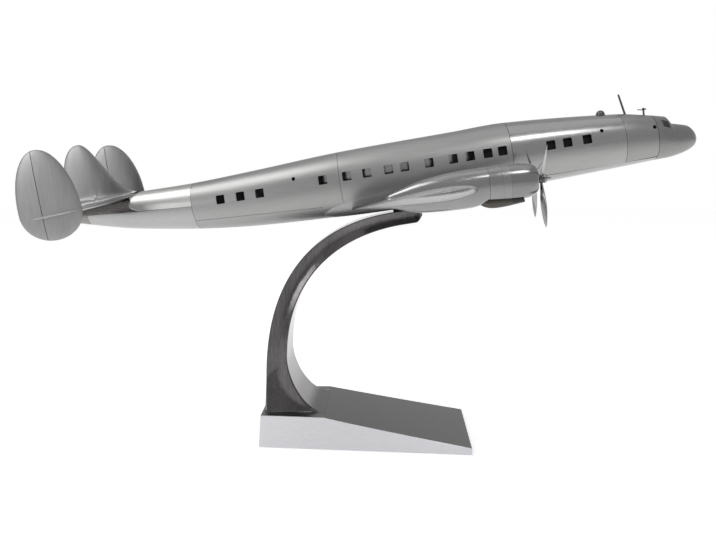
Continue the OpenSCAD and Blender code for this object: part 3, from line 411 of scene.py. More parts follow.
def onNose(u, z):
    return (noseAft + u * fuselage["noseLength"], noseMiddle + z * noseRadius)


def noseRow(u, z, w, d):
    return (*onNose(u, z), w * noseRadius, (d + z) * noseRadius)


def roundRow(x, z, wide):
    return (x, z, wide / 2, wide / 2)


# place, height of the middle, half width and depth below the middle
bodyRows = [
    roundRow(coneTip, 15, fuselage["coneTip"]), roundRow(coneFore + 36, 10.7, 43.2),
    roundRow(tailAft, fuselage["tailMiddle"], fuselage["tailWide"]),
    roundRow(rearAft, fuselage["rearMiddle"], fuselage["rearWide"]),
    roundRow(rearAft + fuselage["rearLength"] * 0.42, -1.2, 75.2),
    roundRow(centreAft, -0.6, fuselage["centreAftWide"]),
    roundRow(centreAft + fuselage["centreLength"] * 0.68, 0.2, fuselage["cabin"]),
    roundRow(centreFore, fuselage["foreMiddle"], fuselage["centreForeWide"]),
    roundRow(frontFore, fuselage["frontMiddle"], fuselage["frontWide"]),
    noseRow(0, 0, 1, 1), noseRow(0.313, -0.09, 0.89, 0.983), noseRow(0.487, -0.18, 0.77, 0.942),
    noseRow(0.713, -0.21, 0.63, 0.843), noseRow(0.887, -0.26, 0.43, 0.7), noseRow(0.974, -0.3, 0.22, 0.536),
    noseRow(1, -0.325, 0.04, 0.365),
]
# the roof line breaks at the windscreen
roofRows = [(r[0], r[1] + r[2]) for r in bodyRows if r[0] <= noseAft] + [onNose(0.313, 0.853)]
bonnetRows = [onNose(0.42, 0.515), onNose(0.713, 0.365), onNose(0.817, 0.29), onNose(0.887, 0.174),
              onNose(0.974, -0.075), onNose(1, -0.285)]
screenHead, screenFoot = roofRows[-1][0], bonnetRows[0][0]


def roofHeight(x):
    if x <= screenHead:
        return smoothRow(roofRows, x)[1]
    if x >= screenFoot:
        return smoothRow(bonnetRows, x)[1]
    t = (x - screenHead) / (screenFoot - screenHead)
    return mix(roofRows[-1][1], bonnetRows[0][1], t)


def hullSection(x):
    _, middle, wide, deep = smoothRow(bodyRows, x)
    return middle, wide, max(roofHeight(x) - middle, 0.3), deep


def seamCut(bm, seam, keepUpper=True):
    # cuts along the seam, a line seen from the side, half a gap to one side of it
    a, b = seam
    dx, dz = b[0] - a[0], b[1] - a[1]
    size = hypot(dx, dz)
    normal = Vector((dz / size, 0, -dx / size)) * (1 if keepUpper else -1)
    cutAway(bm, Vector((a[0], 0, a[1])) - normal * fuselage["seamGap"] / 2, normal)
    return bm


def hullTube(stations, offsetAt=lambda x: 0.0, caps=()):
    def placeAt(x):
        middle, wide, rise, deep = hullSection(x)
        off = offsetAt(x)
        return lambda c, s: (x, (wide + off) * c, middle + ((rise if s >= 0 else deep) + off) * s)

    return loft(stations, fuselage["segments"], placeAt, caps)


def tubeBetween(x0, x1):
    return hullTube(evenly(x0 + half, x1 - half, step))


def windowTools(windows, ports):
    bm = bmesh.new()
    side, through = fuselage["windowSide"], 240
    for x, z in windows:
        edges = {e for v in boxAt(bm, move(x, 0, z), (side, through, side)) for e in v.link_edges
                 if abs(e.verts[0].co.y - e.verts[1].co.y) > side * 2}
        bmesh.ops.bevel(bm, geom=list(edges), offset=fuselage["windowRound"], affect="EDGES", segments=4,
                        profile=0.5, material=-1)
    for x, z in ports:
        rodAt(bm, move(x, through / 2, z) @ turned(90, "X"), fuselage["port"], through, 32)
    return bm


def skinPiece(name, bm, finish, node, openings=None):
    # outer faces first, then their thickness with the inside faces painted near black as painted shade, soft rims and
    # openings
    facesOut(bm)
    if sum(f.normal.yz.dot(f.calc_center_median().yz) for f in bm.faces) < 0:
        bmesh.ops.reverse_faces(bm, faces=bm.faces)
    piece = rawPiece(name, bm, airframe, finish, "insideShadePainted")
    thicken(piece, fuselage["skin"], insideFinish=1)
    soften(piece, fuselage["rim"], 2, 50)
    applyModifiers(piece)
    if openings:
        carve(piece, openings, airframe)
    finishPiece(piece, node, "satin_skin")


# seams between upper skins and belly skins, as lines seen from the side
frontLow = fuselage["frontMiddle"] - 0.83 * fuselage["frontWide"] / 2
rearSeam = [(rearAft, fuselage["rearMiddle"] - 0.58 * fuselage["rearWide"] / 2), (fairingRear, -25.6)]
tailSeam = [(tailAft, 7.9), (rearAft, 2.6)]
coneSeam = [(coneFore, 12.9), (tailAft, 7.9)]
frontSeam = [(centreFore, fuselage["foreMiddle"] - 0.73 * fuselage["centreForeWide"] / 2), (frontFore, frontLow)]
cockpitSeam = [(frontFore, frontLow), (noseAft, noseMiddle - 0.83 * noseRadius)]

windows = {
    "rear": [(rearAft + d, 10.0 if d > 120 else 6.0) for d in (40.7, 68.2, 94.6, 180.3)],
    "centre": [(centreAft + d, 10.0) for d in (10.1, 36.6, 64.9, 85.8, 117.6, 148.6, 170.4, 193.0, 211.8)],
    "front": [(centreFore + d, 7.3) for d in (49.3, 70.7, 95.9)],
}
skinPiece("centreSkin", tubeBetween(centreAft, centreFore), "centreSkin", "centre_section",
          windowTools(windows["centre"], []))
skinPiece("frontSkin", seamCut(tubeBetween(centreFore, frontFore), frontSeam), "frontSkin", "front_section",
          windowTools(windows["front"], [(centreFore + 116.0, 14.9)]))
skinPiece("cockpitSkin", seamCut(tubeBetween(frontFore, noseAft), cockpitSeam), "noseSkin", "nose_section",
          windowTools([], [(frontFore + 38.2, 8.7)]))

# the belly skin ends at the wing box, so only the part behind that loses its underside
rearTube = hullTube(evenly(fairingRear, centreAft - half, step))
rearStations = evenly(rearAft + half, fairingRear, step)
joinInto(rearTube, seamCut(hullTube(rearStations), rearSeam), 0.01)
skinPiece("rearSkin", rearTube, "centreSkin", "rear_section",
          windowTools(windows["rear"], [(rearAft + 142.0, 17.3)]))


def tailTongue():
    # the upper tail skin ends in a rounded tongue that lies on the cone and turns inwards
    low, high = fuselage["tongueFoot"], fuselage["tailMiddle"] + fuselage["tailWide"] / 2

    def placeAt(t):
        def place(c, s):
            x = tailAft
            for _ in range(2):
                middle, wide, rise, deep = hullSection(x)
                lift = min(max((middle + (rise if s >= 0 else deep) * s - low) / (high - low), 0), 1)
                start = tailAft + half - fuselage["tongue"] * sin(pi * lift**0.8) ** 0.7
                x = mix(start, rearAft - half, t)
            near = max(0.0, 1 - (x - start) / fuselage["tongueEdge"])
            off = -fuselage["tongueTuck"] * (1 - sqrt(1 - near * near))
            return (x, (wide + off) * c, middle + ((rise if s >= 0 else deep) + off) * s)
        return place

    stations = [0, 0.001, 0.003, 0.008, 0.016, 0.028, 0.044] + evenly(0.07, 1, 0.06)
    return loft(stations, fuselage["segments"], placeAt, caps=())


# the upper tail skin's lighter colour is a painted highlight
skinPiece("upperTailSkin", seamCut(tailTongue(), tailSeam), "tailSkinLightPainted", "tail_section")


def coneInset(x):
    # the cone's fore edge slips under the tongue
    return -fuselage["coneSink"] * max(0, (x - coneFore) / (tailAft - coneFore))


def tipInset(x):
    share = max(0, 1 - (x - coneTip) / fuselage["tipRound"])
    return -fuselage["tipRound"] * (1 - sqrt(max(0, 1 - share**2)))


coneTube = seamCut(hullTube(evenly(coneFore, tailAft - half, step), coneInset), coneSeam)
tipStations = [coneTip + d for d in (0, 0.25, 0.9, 2, 3.4)] + evenly(coneTip + 5, coneFore, 4)
tipTube = hullTube(tipStations, tipInset, caps=(0,))
joinInto(tipTube, coneTube, 0.01)
# the cone's dark colour is painted shade
skinPiece("tailConeSkin", tipTube, "coneSkinShadePainted", "tail_cone")

bellyTail = seamCut(hullTube(evenly(coneFore + half, tailAft, step)), coneSeam, False)
joinInto(bellyTail, seamCut(hullTube(evenly(tailAft, rearAft - half, step)), tailSeam, False), 0.02)
skinPiece("bellyTailSkin", bellyTail, "tailBelly", "belly_tail")
skinPiece("bellyRearSkin", seamCut(hullTube(rearStations), rearSeam, False), "centreSkin", "belly_rear")

bellyFront = hullTube(evenly(centreFore + half, frontFore, step) + evenly(frontFore, noseAft - half, step)[1:])
bellySeam = [(x, z - fuselage["bellyGap"]) for x, z in (frontSeam[0], cockpitSeam[1])]
skinPiece("bellyFrontSkin", seamCut(bellyFront, bellySeam, False), "frontSkin", "belly_front")

noseStart = noseAft + half
noseStations = sorted(
    [noseStart + (noseTip - noseStart) * sin(i / 44 * pi / 2) for i in range(45)] + [screenHead, screenFoot])
skinPiece("noseCap", hullTube(noseStations, caps=(-1,)), "noseCap", "nose_cap")

# film behind the windows: a grey see-through sheet beside the cabin and a black sheet inside the front section, both
# painted shade for the cabin's dark inside
films = dict(clearInset=2.4, blackInset=8.0, blackStart=182.0, thick=0.4, low=-6.0, high=24.0)


def windowFilm(name, x0, x1, inset, finish):
    bm = hullTube(evenly(x0, x1, 6), lambda x: -inset)
    cutAway(bm, (0, 0, films["low"]), (0, 0, -1))
    cutAway(bm, (0, 0, films["high"]), (0, 0, 1))
    facesOut(bm)
    piece = rawPiece(name, bm, airframe, finish)
    thicken(piece, films["thick"])
    applyModifiers(piece)
    finishPiece(piece, None, "dark_glazing")


blackStart = centreAft + films["blackStart"]
windowFilm("cabinFilm", rearAft + 30, blackStart - 1, films["clearInset"], "cabinShadeFilm")
# a black sheet deep inside the front section, painted shade that keeps its windows dark
windowFilm("frontFilm", blackStart + 1, frontFore - 4, films["blackInset"], "insideShadePainted")
print("fuselage skins made")


# wing box and wings
wing = dict(
    halfSpan=469.0, rootLe=146.0, rootTe=-24.0, tipLe=91.0, tipTe=39.0, rootZ=-35.0,
    dihedral=4.4, rootThick=24.0, tipThick=5.0, tipRound=20.0, start=30.0, segments=96,
    boxWide=39.5, boxDeep=45.4, boxTop=10.0, boxCrown=6.0, boxCorner=0.75,
)
# share of length, share of width, and how far the underside rises
boxRows = [(0, 0.82, 0.14), (0.06, 0.9, 0.08), (0.2, 0.98, 0.02), (0.3, 1, 0), (0.86, 1, 0), (1, 0.84, 0.2)]


def boxPlace(u):
    _, wide, share = smoothRow(boxRows, u)
    low = wing["boxDeep"] * (1 - share * 0.5) - wing["boxTop"]
    return lambda c, s: (
        mix(fairingRear, fairingFront, u), squared(c, wing["boxCorner"]) * wing["boxWide"] * wide,
        -wing["boxTop"] + squared(s, wing["boxCorner"]) * (low if s < 0 else wing["boxCrown"]))


boxStations = [
    0, 0.004, 0.012, 0.02, 0.035, 0.055, 0.08, 0.11, 0.14, 0.18, 0.3, 0.5, 0.7, 0.8, 0.86, 0.9, 0.94, 0.97, 1]
solidPiece("wingBox", loft(boxStations, wing["segments"], boxPlace), airframe, ["centreSkin"], "wing_fairing",
           "satin_skin", bevel=0.8, sharp=50)

tipStart = wing["halfSpan"] - wing["tipRound"]


def camberHalf(u):
    return 5 * (0.2969 * sqrt(u) - 0.126 * u - 0.3516 * u * u + 0.2843 * u**3 - 0.1036 * u**4)


def wingPlace(y, side):
    t = (y - wing["start"]) / (tipStart - wing["start"])
    f = 1 if y <= tipStart else sqrt(max(1 - ((y - tipStart) / wing["tipRound"]) ** 2, 0.0))
    le, te = mix(wing["rootLe"], wing["tipLe"], t), mix(wing["rootTe"], wing["tipTe"], t)
    middle, chord = (le + te) / 2, (le - te) * max(f, 0.04)
    thick = mix(wing["rootThick"], wing["tipThick"], min(t, 1)) * max(f, 0.04)
    z = wing["rootZ"] + (y - wing["start"]) * tan(radians(wing["dihedral"]))

    def place(c, s):
        u = (1 + c) / 2
        return (middle + chord / 2 - u * chord, side * y, z + copysign(camberHalf(u), s) * thick)

    return place


wingStations = evenly(wing["start"], tipStart, 14) + [
    tipStart + wing["tipRound"] * sin(i / 12 * pi / 2) for i in range(1, 13)]
for sideName, side in sides.items():
    panel = loft(wingStations, wing["segments"], lambda y: wingPlace(y, side))
    wingPiece = solidPiece("wing" + sideName.capitalize(), panel, airframe, ["wingTop", "wingUnder"],
                           "wing_" + sideName, "cast_aluminium")
    # the downward faces take the darker copy: painted shade on the underside
    paintFaces(wingPiece.data.polygons, lambda face: face.normal.z <= 0)
print("wings made")


# engines, each drawn about its propeller's centre
engines = dict(
    cowlWide=37.0, lipWide=24.0, cowlLength=50.0, cowlWall=1.6, nacelleLength=106.0, lip=-4.0,
    cylinders=9, scoopStart=14.0, scoopLength=47.0, scoopSink=6.0, scoopRake=2.2,
    mouthLength=13.6, mouthLow=2.3, skinFit=0.1, nacelleGap=0.2,
)
places = {
    "outer_port": (185.0, 222.0, -19.8), "inner_port": (200.5, 110.0, -24.0),
    "inner_starboard": (200.5, -110.0, -24.0), "outer_starboard": (185.0, -222.0, -19.8),
}
rests = {"outer": 168.0, "inner": 190.0}
cowlRadius, lipRadius, lipX = engines["cowlWide"] / 2, engines["lipWide"] / 2, engines["lip"]
firewall = lipX - engines["cowlLength"]
droop = turned(attitude["engineDroop"], "Y")


def atEngines(name, bm, finishNames, slotName, spins=False, turns=None, sharp=38):
    # one copy at each engine; what spins rides on that propeller's body
    for key, hub in places.items():
        place = airframe @ move(*hub) @ droop
        if turns:
            place = place @ turned(turns[key.split("_")[0]], "X")
        label = name + "".join(word.capitalize() for word in key.split("_"))
        body = "propeller_body_" + key if spins else "display_model"
        solidPiece(label, bm.copy(), place, finishNames, name + "_" + key, slotName, sharp=sharp, body=body)
    bm.free()


# share of length back from the cowl, then half width, rise and depth as shares of the cowl's radius
nacelleRows = [
    (0, 0.935, 0.935, 0.935), (0.13, 0.96, 0.96, 1.13), (0.3, 0.94, 0.97, 1.14), (0.5, 0.82, 0.9, 1.08),
    (0.68, 0.62, 0.74, 0.96), (0.88, 0.34, 0.42, 0.6), (1, 0.14, 0.2, 0.32)]


def nacellePlace(u):
    _, wide, rise, deep = smoothRow(nacelleRows, u)
    close = sqrt(max(0.02, 1 - max(0, (u - 0.95) / 0.05) ** 2))
    back = u * engines["nacelleLength"]
    return lambda c, s: (
        firewall - engines["nacelleGap"] - back, cowlRadius * wide * close * c,
        cowlRadius * (rise if s >= 0 else deep) * close * s - back * sin(radians(attitude["engineDroop"])))


nacelle = loft([i / 40 for i in range(39)] + [0.965, 0.98, 0.99, 0.996, 1], 72, nacellePlace)
atEngines("nacelle", nacelle, ["castWing"], "cast_aluminium")

# cowl, from its lip back: share of length, share of the way from the lip's radius to the full one
cowlRows = [
    (0, -0.14), (0.012, 0.05), (0.03, 0.25), (0.06, 0.47), (0.1, 0.63), (0.16, 0.78), (0.26, 0.91), (0.4, 1),
    (0.6, 1), (0.8, 0.93), (1, 0.82)]
cowlSeams = (0.73, 0.567)


def cowlPoint(u, inwards=0.0):
    return (mix(lipRadius, cowlRadius, smoothRow(cowlRows, u)[1]) - inwards, lipX - u * engines["cowlLength"])


def cowlPoints(shares, inwards=0.0):
    return [cowlPoint(u, inwards) for u in shares]


def cowlGroove(u):
    return [cowlPoint(u + 0.003), cowlPoint(u + 0.0025, 0.4), cowlPoint(u - 0.0025, 0.4), cowlPoint(u - 0.003)]


def cowlBand(face):
    share = (lipX - face.calc_center_median().x) / engines["cowlLength"]
    return 1 if share > cowlSeams[0] else 2 if share > cowlSeams[1] else 0


cowlProfile = cowlPoints(evenly(0.998, 0.75, 0.04)) + cowlGroove(cowlSeams[0])
cowlProfile += cowlPoints(evenly(0.71, 0.59, 0.03)) + cowlGroove(cowlSeams[1])
cowlProfile += cowlPoints(evenly(0.54, 0.1, 0.03) + [0.085, 0.07, 0.055, 0.042, 0.03, 0.02, 0.012, 0.006, 0.002, 0])
cowlProfile += [cowlPoint(0.012, 1.4), cowlPoint(0.03, 1.7)]
cowlProfile += cowlPoints((0.06, 0.1, 0.16, 0.26, 0.4, 0.5, 0.6, 0.8, 0.998), engines["cowlWall"])
cowl = spun(cowlProfile + [cowlProfile[0]], 96)
paintFaces(cowl.faces, cowlBand)
atEngines("cowl", cowl, ["cowlSkin", "castWing", "cowlBand"], "satin_skin", sharp=40)

# scoop: share of length from its tail, then half width and depth as shares of the cowl's radius
scoopRows = [
    (0, 0.08, 0.02), (0.05, 0.16, 0.12), (0.16, 0.26, 0.27), (0.31, 0.35, 0.35), (0.56, 0.42, 0.33),
    (0.81, 0.43, 0.25), (1, 0.4, 0.18)]
scoopFront = lipX - engines["scoopStart"]


def scoopPlace(station):
    u, thin = station
    _, wide, deep = smoothRow(scoopRows, u)
    return lambda c, s: (
        scoopFront + (u - 1) * engines["scoopLength"] - engines["scoopRake"] * max(0, (u - 0.9) / 0.1) * (s + 1) / 2,
        (cowlRadius * wide - thin) * c,
        -cowlRadius + engines["scoopSink"] * max(s, 0) + (cowlRadius * deep - thin) * min(s, 0))


def scoopMouth(face):
    middle = face.calc_center_median()
    near, low = middle.x > scoopFront - engines["mouthLength"], middle.z > -cowlRadius - engines["mouthLow"]
    return near and low or middle.x > scoopFront


# the ring turns in at the mouth and runs back inside it
scoopStations = [(i / 28, 0) for i in range(28)] + [(0.985, 0.04), (0.997, 0.25), (1, 0.5), (0.997, 0.8)]
scoopStations += [(u, 1.0) for u in (0.985, 0.95, 0.9, 0.85, 0.8, 0.74)]
scoop = loft(scoopStations, 48, scoopPlace)
# the mouth's faces are painted near black as painted shade inside the intake; the rest of the scoop is painted dark as
# shade
paintFaces(scoop.faces, scoopMouth)
atEngines("scoop", scoop, ["scoopDark", "grooveDark"], "satin_skin")

# engine: plate and crankcase, with finned cylinders round it
plateRadius = cowlPoint(0.78)[0] - engines["cowlWall"] - engines["skinFit"]
engine = spun([
    (0, firewall), (5, firewall), (5, -43), (plateRadius, -43), (plateRadius, -40), (6, -40), (6, -27.4), (5.6, -26),
    (5.4, -24), (5, -20), (4, -16), (3.1, -14), (2.4, -13), (0, -13)], 48)
barrelProfile = [(0, 4)]
for k in range(8):
    h = 4.6 + k * 0.86
    barrelProfile += [(1.75, h), (1.75, h + 0.3), (2.25, h + 0.36), (2.25, h + 0.62), (1.75, h + 0.7)]
barrelProfile += [(1.5, 11.6), (0.9, 12.2), (0, 12.3)]
for i in range(engines["cylinders"]):
    outwards = turned(i * 360 / engines["cylinders"], "X") @ move(-33, 0, 0) @ turned(-90, "Y")
    joinInto(engine, placed(spun(barrelProfile, 24), outwards))
atEngines("engine", engine, ["engineBlack"], "blackened_metal", sharp=30)
print("engines made")


# propellers and spinners
propeller = dict(wide=101.0, blades=3, chord=7.8, hubWide=8.6, hubLength=5.2, hubRound=0.4, bore=1.55,
             spinnerLength=8.0, spinnerBore=2.8, spinnerCavity=1.8)
# share of radius, chord, thickness and twist
bladeRows = [
    (0.06, 0.3, 0.3, -62), (0.24, 0.56, 0.24, -52), (0.46, 0.94, 0.18, -42), (0.72, 0.95, 0.12, -33),
    (0.9, 0.6, 0.08, -28), (0.99, 0.12, 0.06, -26)]
bore, hubRound = propeller["bore"], propeller["hubRound"]
hubRadius, hubHalf = propeller["hubWide"] / 2, propeller["hubLength"] / 2
spinnerRadius = hubRadius + 0.3


def bladePlace(r):
    _, chord, thick, twist = smoothRow(bladeRows, r)
    turn = radians(twist)

    def place(c, s):
        along, across = c * propeller["chord"] * chord / 2, s * propeller["chord"] * thick * chord**0.2 / 2
        return (-along * sin(turn) - across * cos(turn), along * cos(turn) - across * sin(turn),
                r * propeller["wide"] / 2)

    return place


screw = spun([
    (bore, -hubHalf), (hubRadius - hubRound, -hubHalf), (hubRadius, -hubHalf + hubRound),
    (hubRadius, hubHalf - hubRound), (hubRadius - hubRound, hubHalf), (bore, hubHalf), (bore, -hubHalf)], 64)
for i in range(propeller["blades"]):
    blade = loft([0.06 + 0.91 * k / 26 for k in range(27)] + [0.98, 0.987, 0.99], 28, bladePlace)
    joinInto(screw, placed(blade, turned(i * 360 / propeller["blades"], "X")))
# the hub's faces are painted dark, as painted shade behind the spinner
paintFaces(screw.faces, lambda face: face.calc_center_median().yz.length < spinnerRadius)
atEngines("propeller", screw, ["bladeMetal", "hubDark"], "cast_aluminium", spins=True, turns=rests)

spinnerOutside = smoothProfile([
    (spinnerRadius, 0), (spinnerRadius, 1.2), (spinnerRadius - 0.7, 2.6), (spinnerRadius - 2, 3.6), (1.5, 4.2),
    (0.8, propeller["spinnerLength"] - 0.6), (0, propeller["spinnerLength"])], 0.4)
cavityEnd = hubHalf + propeller["spinnerCavity"]
spinner = spun(
    [(propeller["spinnerBore"], hubHalf)] + [(r, hubHalf + x) for r, x in spinnerOutside]
    + [(0, cavityEnd), (propeller["spinnerBore"], cavityEnd), (propeller["spinnerBore"], hubHalf)], 48)
atEngines("spinner", spinner, ["cowlSkin"], "polished_aluminium", spins=True)
print("propellers made")


# tail unit: lens-shaped plates with scribed hinge lines
tail = dict(
    height=28.6, finY=111.0, finX=-387.5, finUp=78.0, finDown=34.0, finFore=41.6, finAft=39.5,
    finThick=5.0, rudderHinge=8.5, hingeRake=2.4, centreFinTop=109.0, centreFinThick=6.0,
    heel=-414.0, flare=1.3, flareHigh=9.0, tailplaneLead=7.5, tailplaneY=125.0,
    tailplaneFore=58.0, tailplaneAft=42.0, tailplaneThick=6.0, incidence=-3.0,
    elevatorHinge=17.0, elevatorIn=16.0, elevatorOut=2.0, groove=0.8, grooveDepth=0.5,
)
leaning = airframe @ move(0, 0, tail["height"]) @ turned(attitude["tailLean"], "X")
finX, finY = tail["finX"], tail["finY"]
shrinks = [1, 0.997, 0.99, 0.975, 0.95, 0.91, 0.85, 0.77, 0.67, 0.55, 0.42, 0.28, 0.14, 0.04]


def lensMesh(outline, centre, thick, flat, flare=0.0):
    # outline(t) gives points round the edge; flat is the axis across the plate, 1 for Y and 2 for Z
    count = 144
    points = [outline(i / count) for i in range(count)]

    def placeAt(station):
        share, sign = station
        height = thick / 2 * sqrt(max(0.0, 1 - share**3)) * sign

        def place(c, s):
            a, b = (mix(centre[i], points[nearestPoint(c, s, count)][i], share) for i in (0, 1))
            lift = height * (1 + flare * max(0.0, 1 - b / tail["flareHigh"]) ** 2)
            return (a, lift, b) if flat == 1 else (a, b, lift)

        return place

    return loft([(share, 1) for share in reversed(shrinks)] + [(share, -1) for share in shrinks[1:]], count, placeAt)


def platePiece(name, bm, place, node, cutTool, flat=1):
    facesOut(bm)
    piece = rawPiece(name, bm, place, "finPlate", "finRimShadePainted")
    # the edge faces are painted near black, as painted shade along the rims
    paintFaces(piece.data.polygons, lambda face: abs(face.normal[flat]) < 0.5)
    if cutTool:
        carve(piece, cutTool, place)
    return finishPiece(piece, node, "cast_aluminium", 45)


def grooveTool(outline, centre, thick, flat, boxes):
    # slabs less the plate's own core, so that the groove keeps one depth
    core = lensMesh(outline, centre, thick - 2 * tail["grooveDepth"], flat)
    facesOut(core)
    slabs = bmesh.new()
    for place, size in boxes:
        boxAt(slabs, place, size)
    slabPiece = rawPiece("slabs", slabs, Matrix())
    subtract(slabPiece, rawPiece("core", core, Matrix()))
    tool = bmesh.new()
    tool.from_mesh(slabPiece.data)
    bpy.data.objects.remove(slabPiece)
    return tool


def sideOutline(t):
    c, s = cos(2 * pi * t), sin(2 * pi * t)
    return (finX + c * tail["finFore" if c > 0 else "finAft"], s * tail["finUp" if s > 0 else "finDown"])


for sideName, side in sides.items():
    hinge = move(finX - tail["rudderHinge"], 0, 0) @ turned(tail["hingeRake"], "Y")
    tool = grooveTool(sideOutline, (finX, 0), tail["finThick"], 1, [(hinge, (tail["groove"], 12, 240))])
    platePiece("fin" + sideName.capitalize(), lensMesh(sideOutline, (finX, 0), tail["finThick"], 1),
               leaning @ move(0, side * finY, 0), "fin_" + sideName, tool)

tailplaneX = finX + tail["tailplaneLead"]
tailplaneNose = tailplaneX + tail["tailplaneFore"]


def tailplaneOutline(t):
    c, s = cos(2 * pi * t), sin(2 * pi * t)
    reach = squared(c, 0.87) * tail["tailplaneFore"] if c > 0 else squared(c, 0.5) * tail["tailplaneAft"]
    return (tailplaneX + reach, squared(s, 0.87 if c > 0 else 0.5) * tail["tailplaneY"])


elevatorWide = finY - tail["elevatorOut"] - tail["elevatorIn"]
elevatorMiddle = (finY - tail["elevatorOut"] + tail["elevatorIn"]) / 2
elevators = grooveTool(tailplaneOutline, (tailplaneX, 0), tail["tailplaneThick"], 2, [
    (move(tailplaneX - tail["elevatorHinge"], s * elevatorMiddle, 0), (tail["groove"], elevatorWide, 20))
    for s in (-1, 1)])
incidence = move(tailplaneNose, 0, 0) @ turned(tail["incidence"], "Y") @ move(-tailplaneNose, 0, 0)
tailplanePiece = platePiece(
    "tailplane", lensMesh(tailplaneOutline, (tailplaneX, 0), tail["tailplaneThick"], 2), leaning @ incidence,
    "stabilizer", elevators, 2)
# the tailplane's tips outboard of the fins are painted pale, as a painted highlight
tailplanePiece.data.materials.append(finishes["tipHighlightPainted"])
tipHighlightSlot = len(tailplanePiece.data.materials) - 1
paintFaces(tailplanePiece.data.polygons,
           lambda face: tipHighlightSlot if abs(face.center.y) > (finY + 1) / 1000 else face.material_index)

finTop = tail["centreFinTop"] - tail["height"]
foreCurve = [(tailAft, 6), (-345, 5), (-362, finTop - 1.4), (-382, finTop)]
aftCurve = [(-382, finTop), (-402, finTop + 1), (-417, finTop - 29), (tail["heel"], 1.4)]


def centreFinOutline(t):
    # up the fore edge, down the aft edge and back along the foot
    if t < 0.42:
        return bezierPoint(foreCurve, t / 0.42)
    if t < 0.84:
        return bezierPoint(aftCurve, (t - 0.42) / 0.42)
    return (mix(tail["heel"], tailAft, (t - 0.84) / 0.16), mix(0, 4, (t - 0.84) / 0.16))


platePiece("finCentre", lensMesh(centreFinOutline, (-372, 0), tail["centreFinThick"], 1, tail["flare"]), leaning,
           "fin_centre", None)
print("tail unit made")


# roof fittings and windscreen
fittings = dict(
    domeX=frontFore - 20, domeWide=12.0, domeHigh=6.0, mastX=frontFore + 11.4, mastLong=26.0,
    mastWide=2.8, mastTop=2.38, mastRake=-13.0, teeX=noseAft - 6.5, teeHigh=8.0, teeWide=2.4,
    sink=4.0, paneThick=0.8, paneProud=0.25,
)
domeRadius, sink = fittings["domeWide"] / 2, fittings["sink"]
mastFoot, mastTip, mastLong = fittings["mastWide"] / 2, fittings["mastTop"] / 2, fittings["mastLong"]


def onRoof(x):
    return move(x, 0, roofHeight(x))


def quarterRound(radius, high, start, count):
    angles = [i / count * pi / 2 for i in range(1, count + 1)]
    return [(radius * cos(a), start + high * sin(a)) for a in angles]


dome = spun([(0, -sink), (domeRadius, -sink), (domeRadius, 0.2), (domeRadius - 0.3, 0.5)]
            + quarterRound(domeRadius - 0.3, fittings["domeHigh"] - 0.5, 0.5, 16), 64)
solidPiece("roofDome", placed(dome, onRoof(fittings["domeX"]) @ turned(-90, "Y")), airframe, ["darkMetal"],
           "astrodome", "dark_glazing")

mast = spun([(0, -sink), (mastFoot, -sink), (mastFoot, 0), (1.35, 8), (1.26, 18), (mastTip, mastLong)]
            + quarterRound(mastTip, mastTip, mastLong, 6), 32)
mastPlace = onRoof(fittings["mastX"]) @ turned(fittings["mastRake"], "Y") @ turned(-90, "Y")
solidPiece("roofMast", placed(mast, mastPlace), airframe, ["darkMetal"], "antenna_mast", "steel")


# the tee's post and ball, and its two arms: tilt, length and width
tee = bmesh.new()
rodAt(tee, move(0, 0, -sink), fittings["teeWide"], fittings["teeHigh"] + sink)
bmesh.ops.create_uvsphere(tee, u_segments=24, v_segments=16, radius=1.68, matrix=move(0, 0, fittings["teeHigh"]))
for tilt, length, wide in ((-80, 7.6, 1.2), (78, 3.6, 1.68)):
    rodAt(tee, move(0, 0, fittings["teeHigh"] * 0.85) @ turned(tilt, "Y"), wide, length)
solidPiece("roofTee", placed(tee, onRoof(fittings["teeX"])), airframe, ["darkMetal"], "tee_antenna", "steel",
           bevel=0.15)


def panePatch(x0, x1, lowAngles, highAngles, side):
    # a patch of the hull's own surface between two places and two angles
    bm = bmesh.new()
    columns = []
    proud = fittings["paneProud"]
    for i in range(9):
        x = mix(x0, x1, i / 8)
        middle, wide, rise, _ = hullSection(x)
        column = []
        for k in range(9):
            a = radians(mix(mix(*lowAngles, i / 8), mix(*highAngles, i / 8), k / 8))
            column.append(bm.verts.new((x, side * (wide + proud) * cos(a), middle + (rise + proud) * sin(a))))
        columns.append([bm.edges.new(pair) for pair in zip(column, column[1:])])
    for a, b in zip(columns, columns[1:]):
        bmesh.ops.bridge_loops(bm, edges=a + b)
    facesOut(bm)
    if sum(f.normal.z for f in bm.faces) < 0:
        bmesh.ops.reverse_faces(bm, faces=bm.faces)
    return bm


panes = bmesh.new()
screenAft, screenFore = mix(screenHead, screenFoot, 0.12), mix(screenHead, screenFoot, 0.88)
for side in (1, -1):
    joinInto(panes, panePatch(screenAft, screenFore, (56, 54), (87, 87), side))
    joinInto(panes, panePatch(screenHead - 9, screenHead - 1, (30, 26), (52, 48), side))
glazing = rawPiece("windscreenPanes", panes, airframe, "darkGlass")
thicken(glazing, fittings["paneThick"])
applyModifiers(glazing)
finishPiece(glazing, "windscreen", "dark_glazing")
print("roof fittings made")


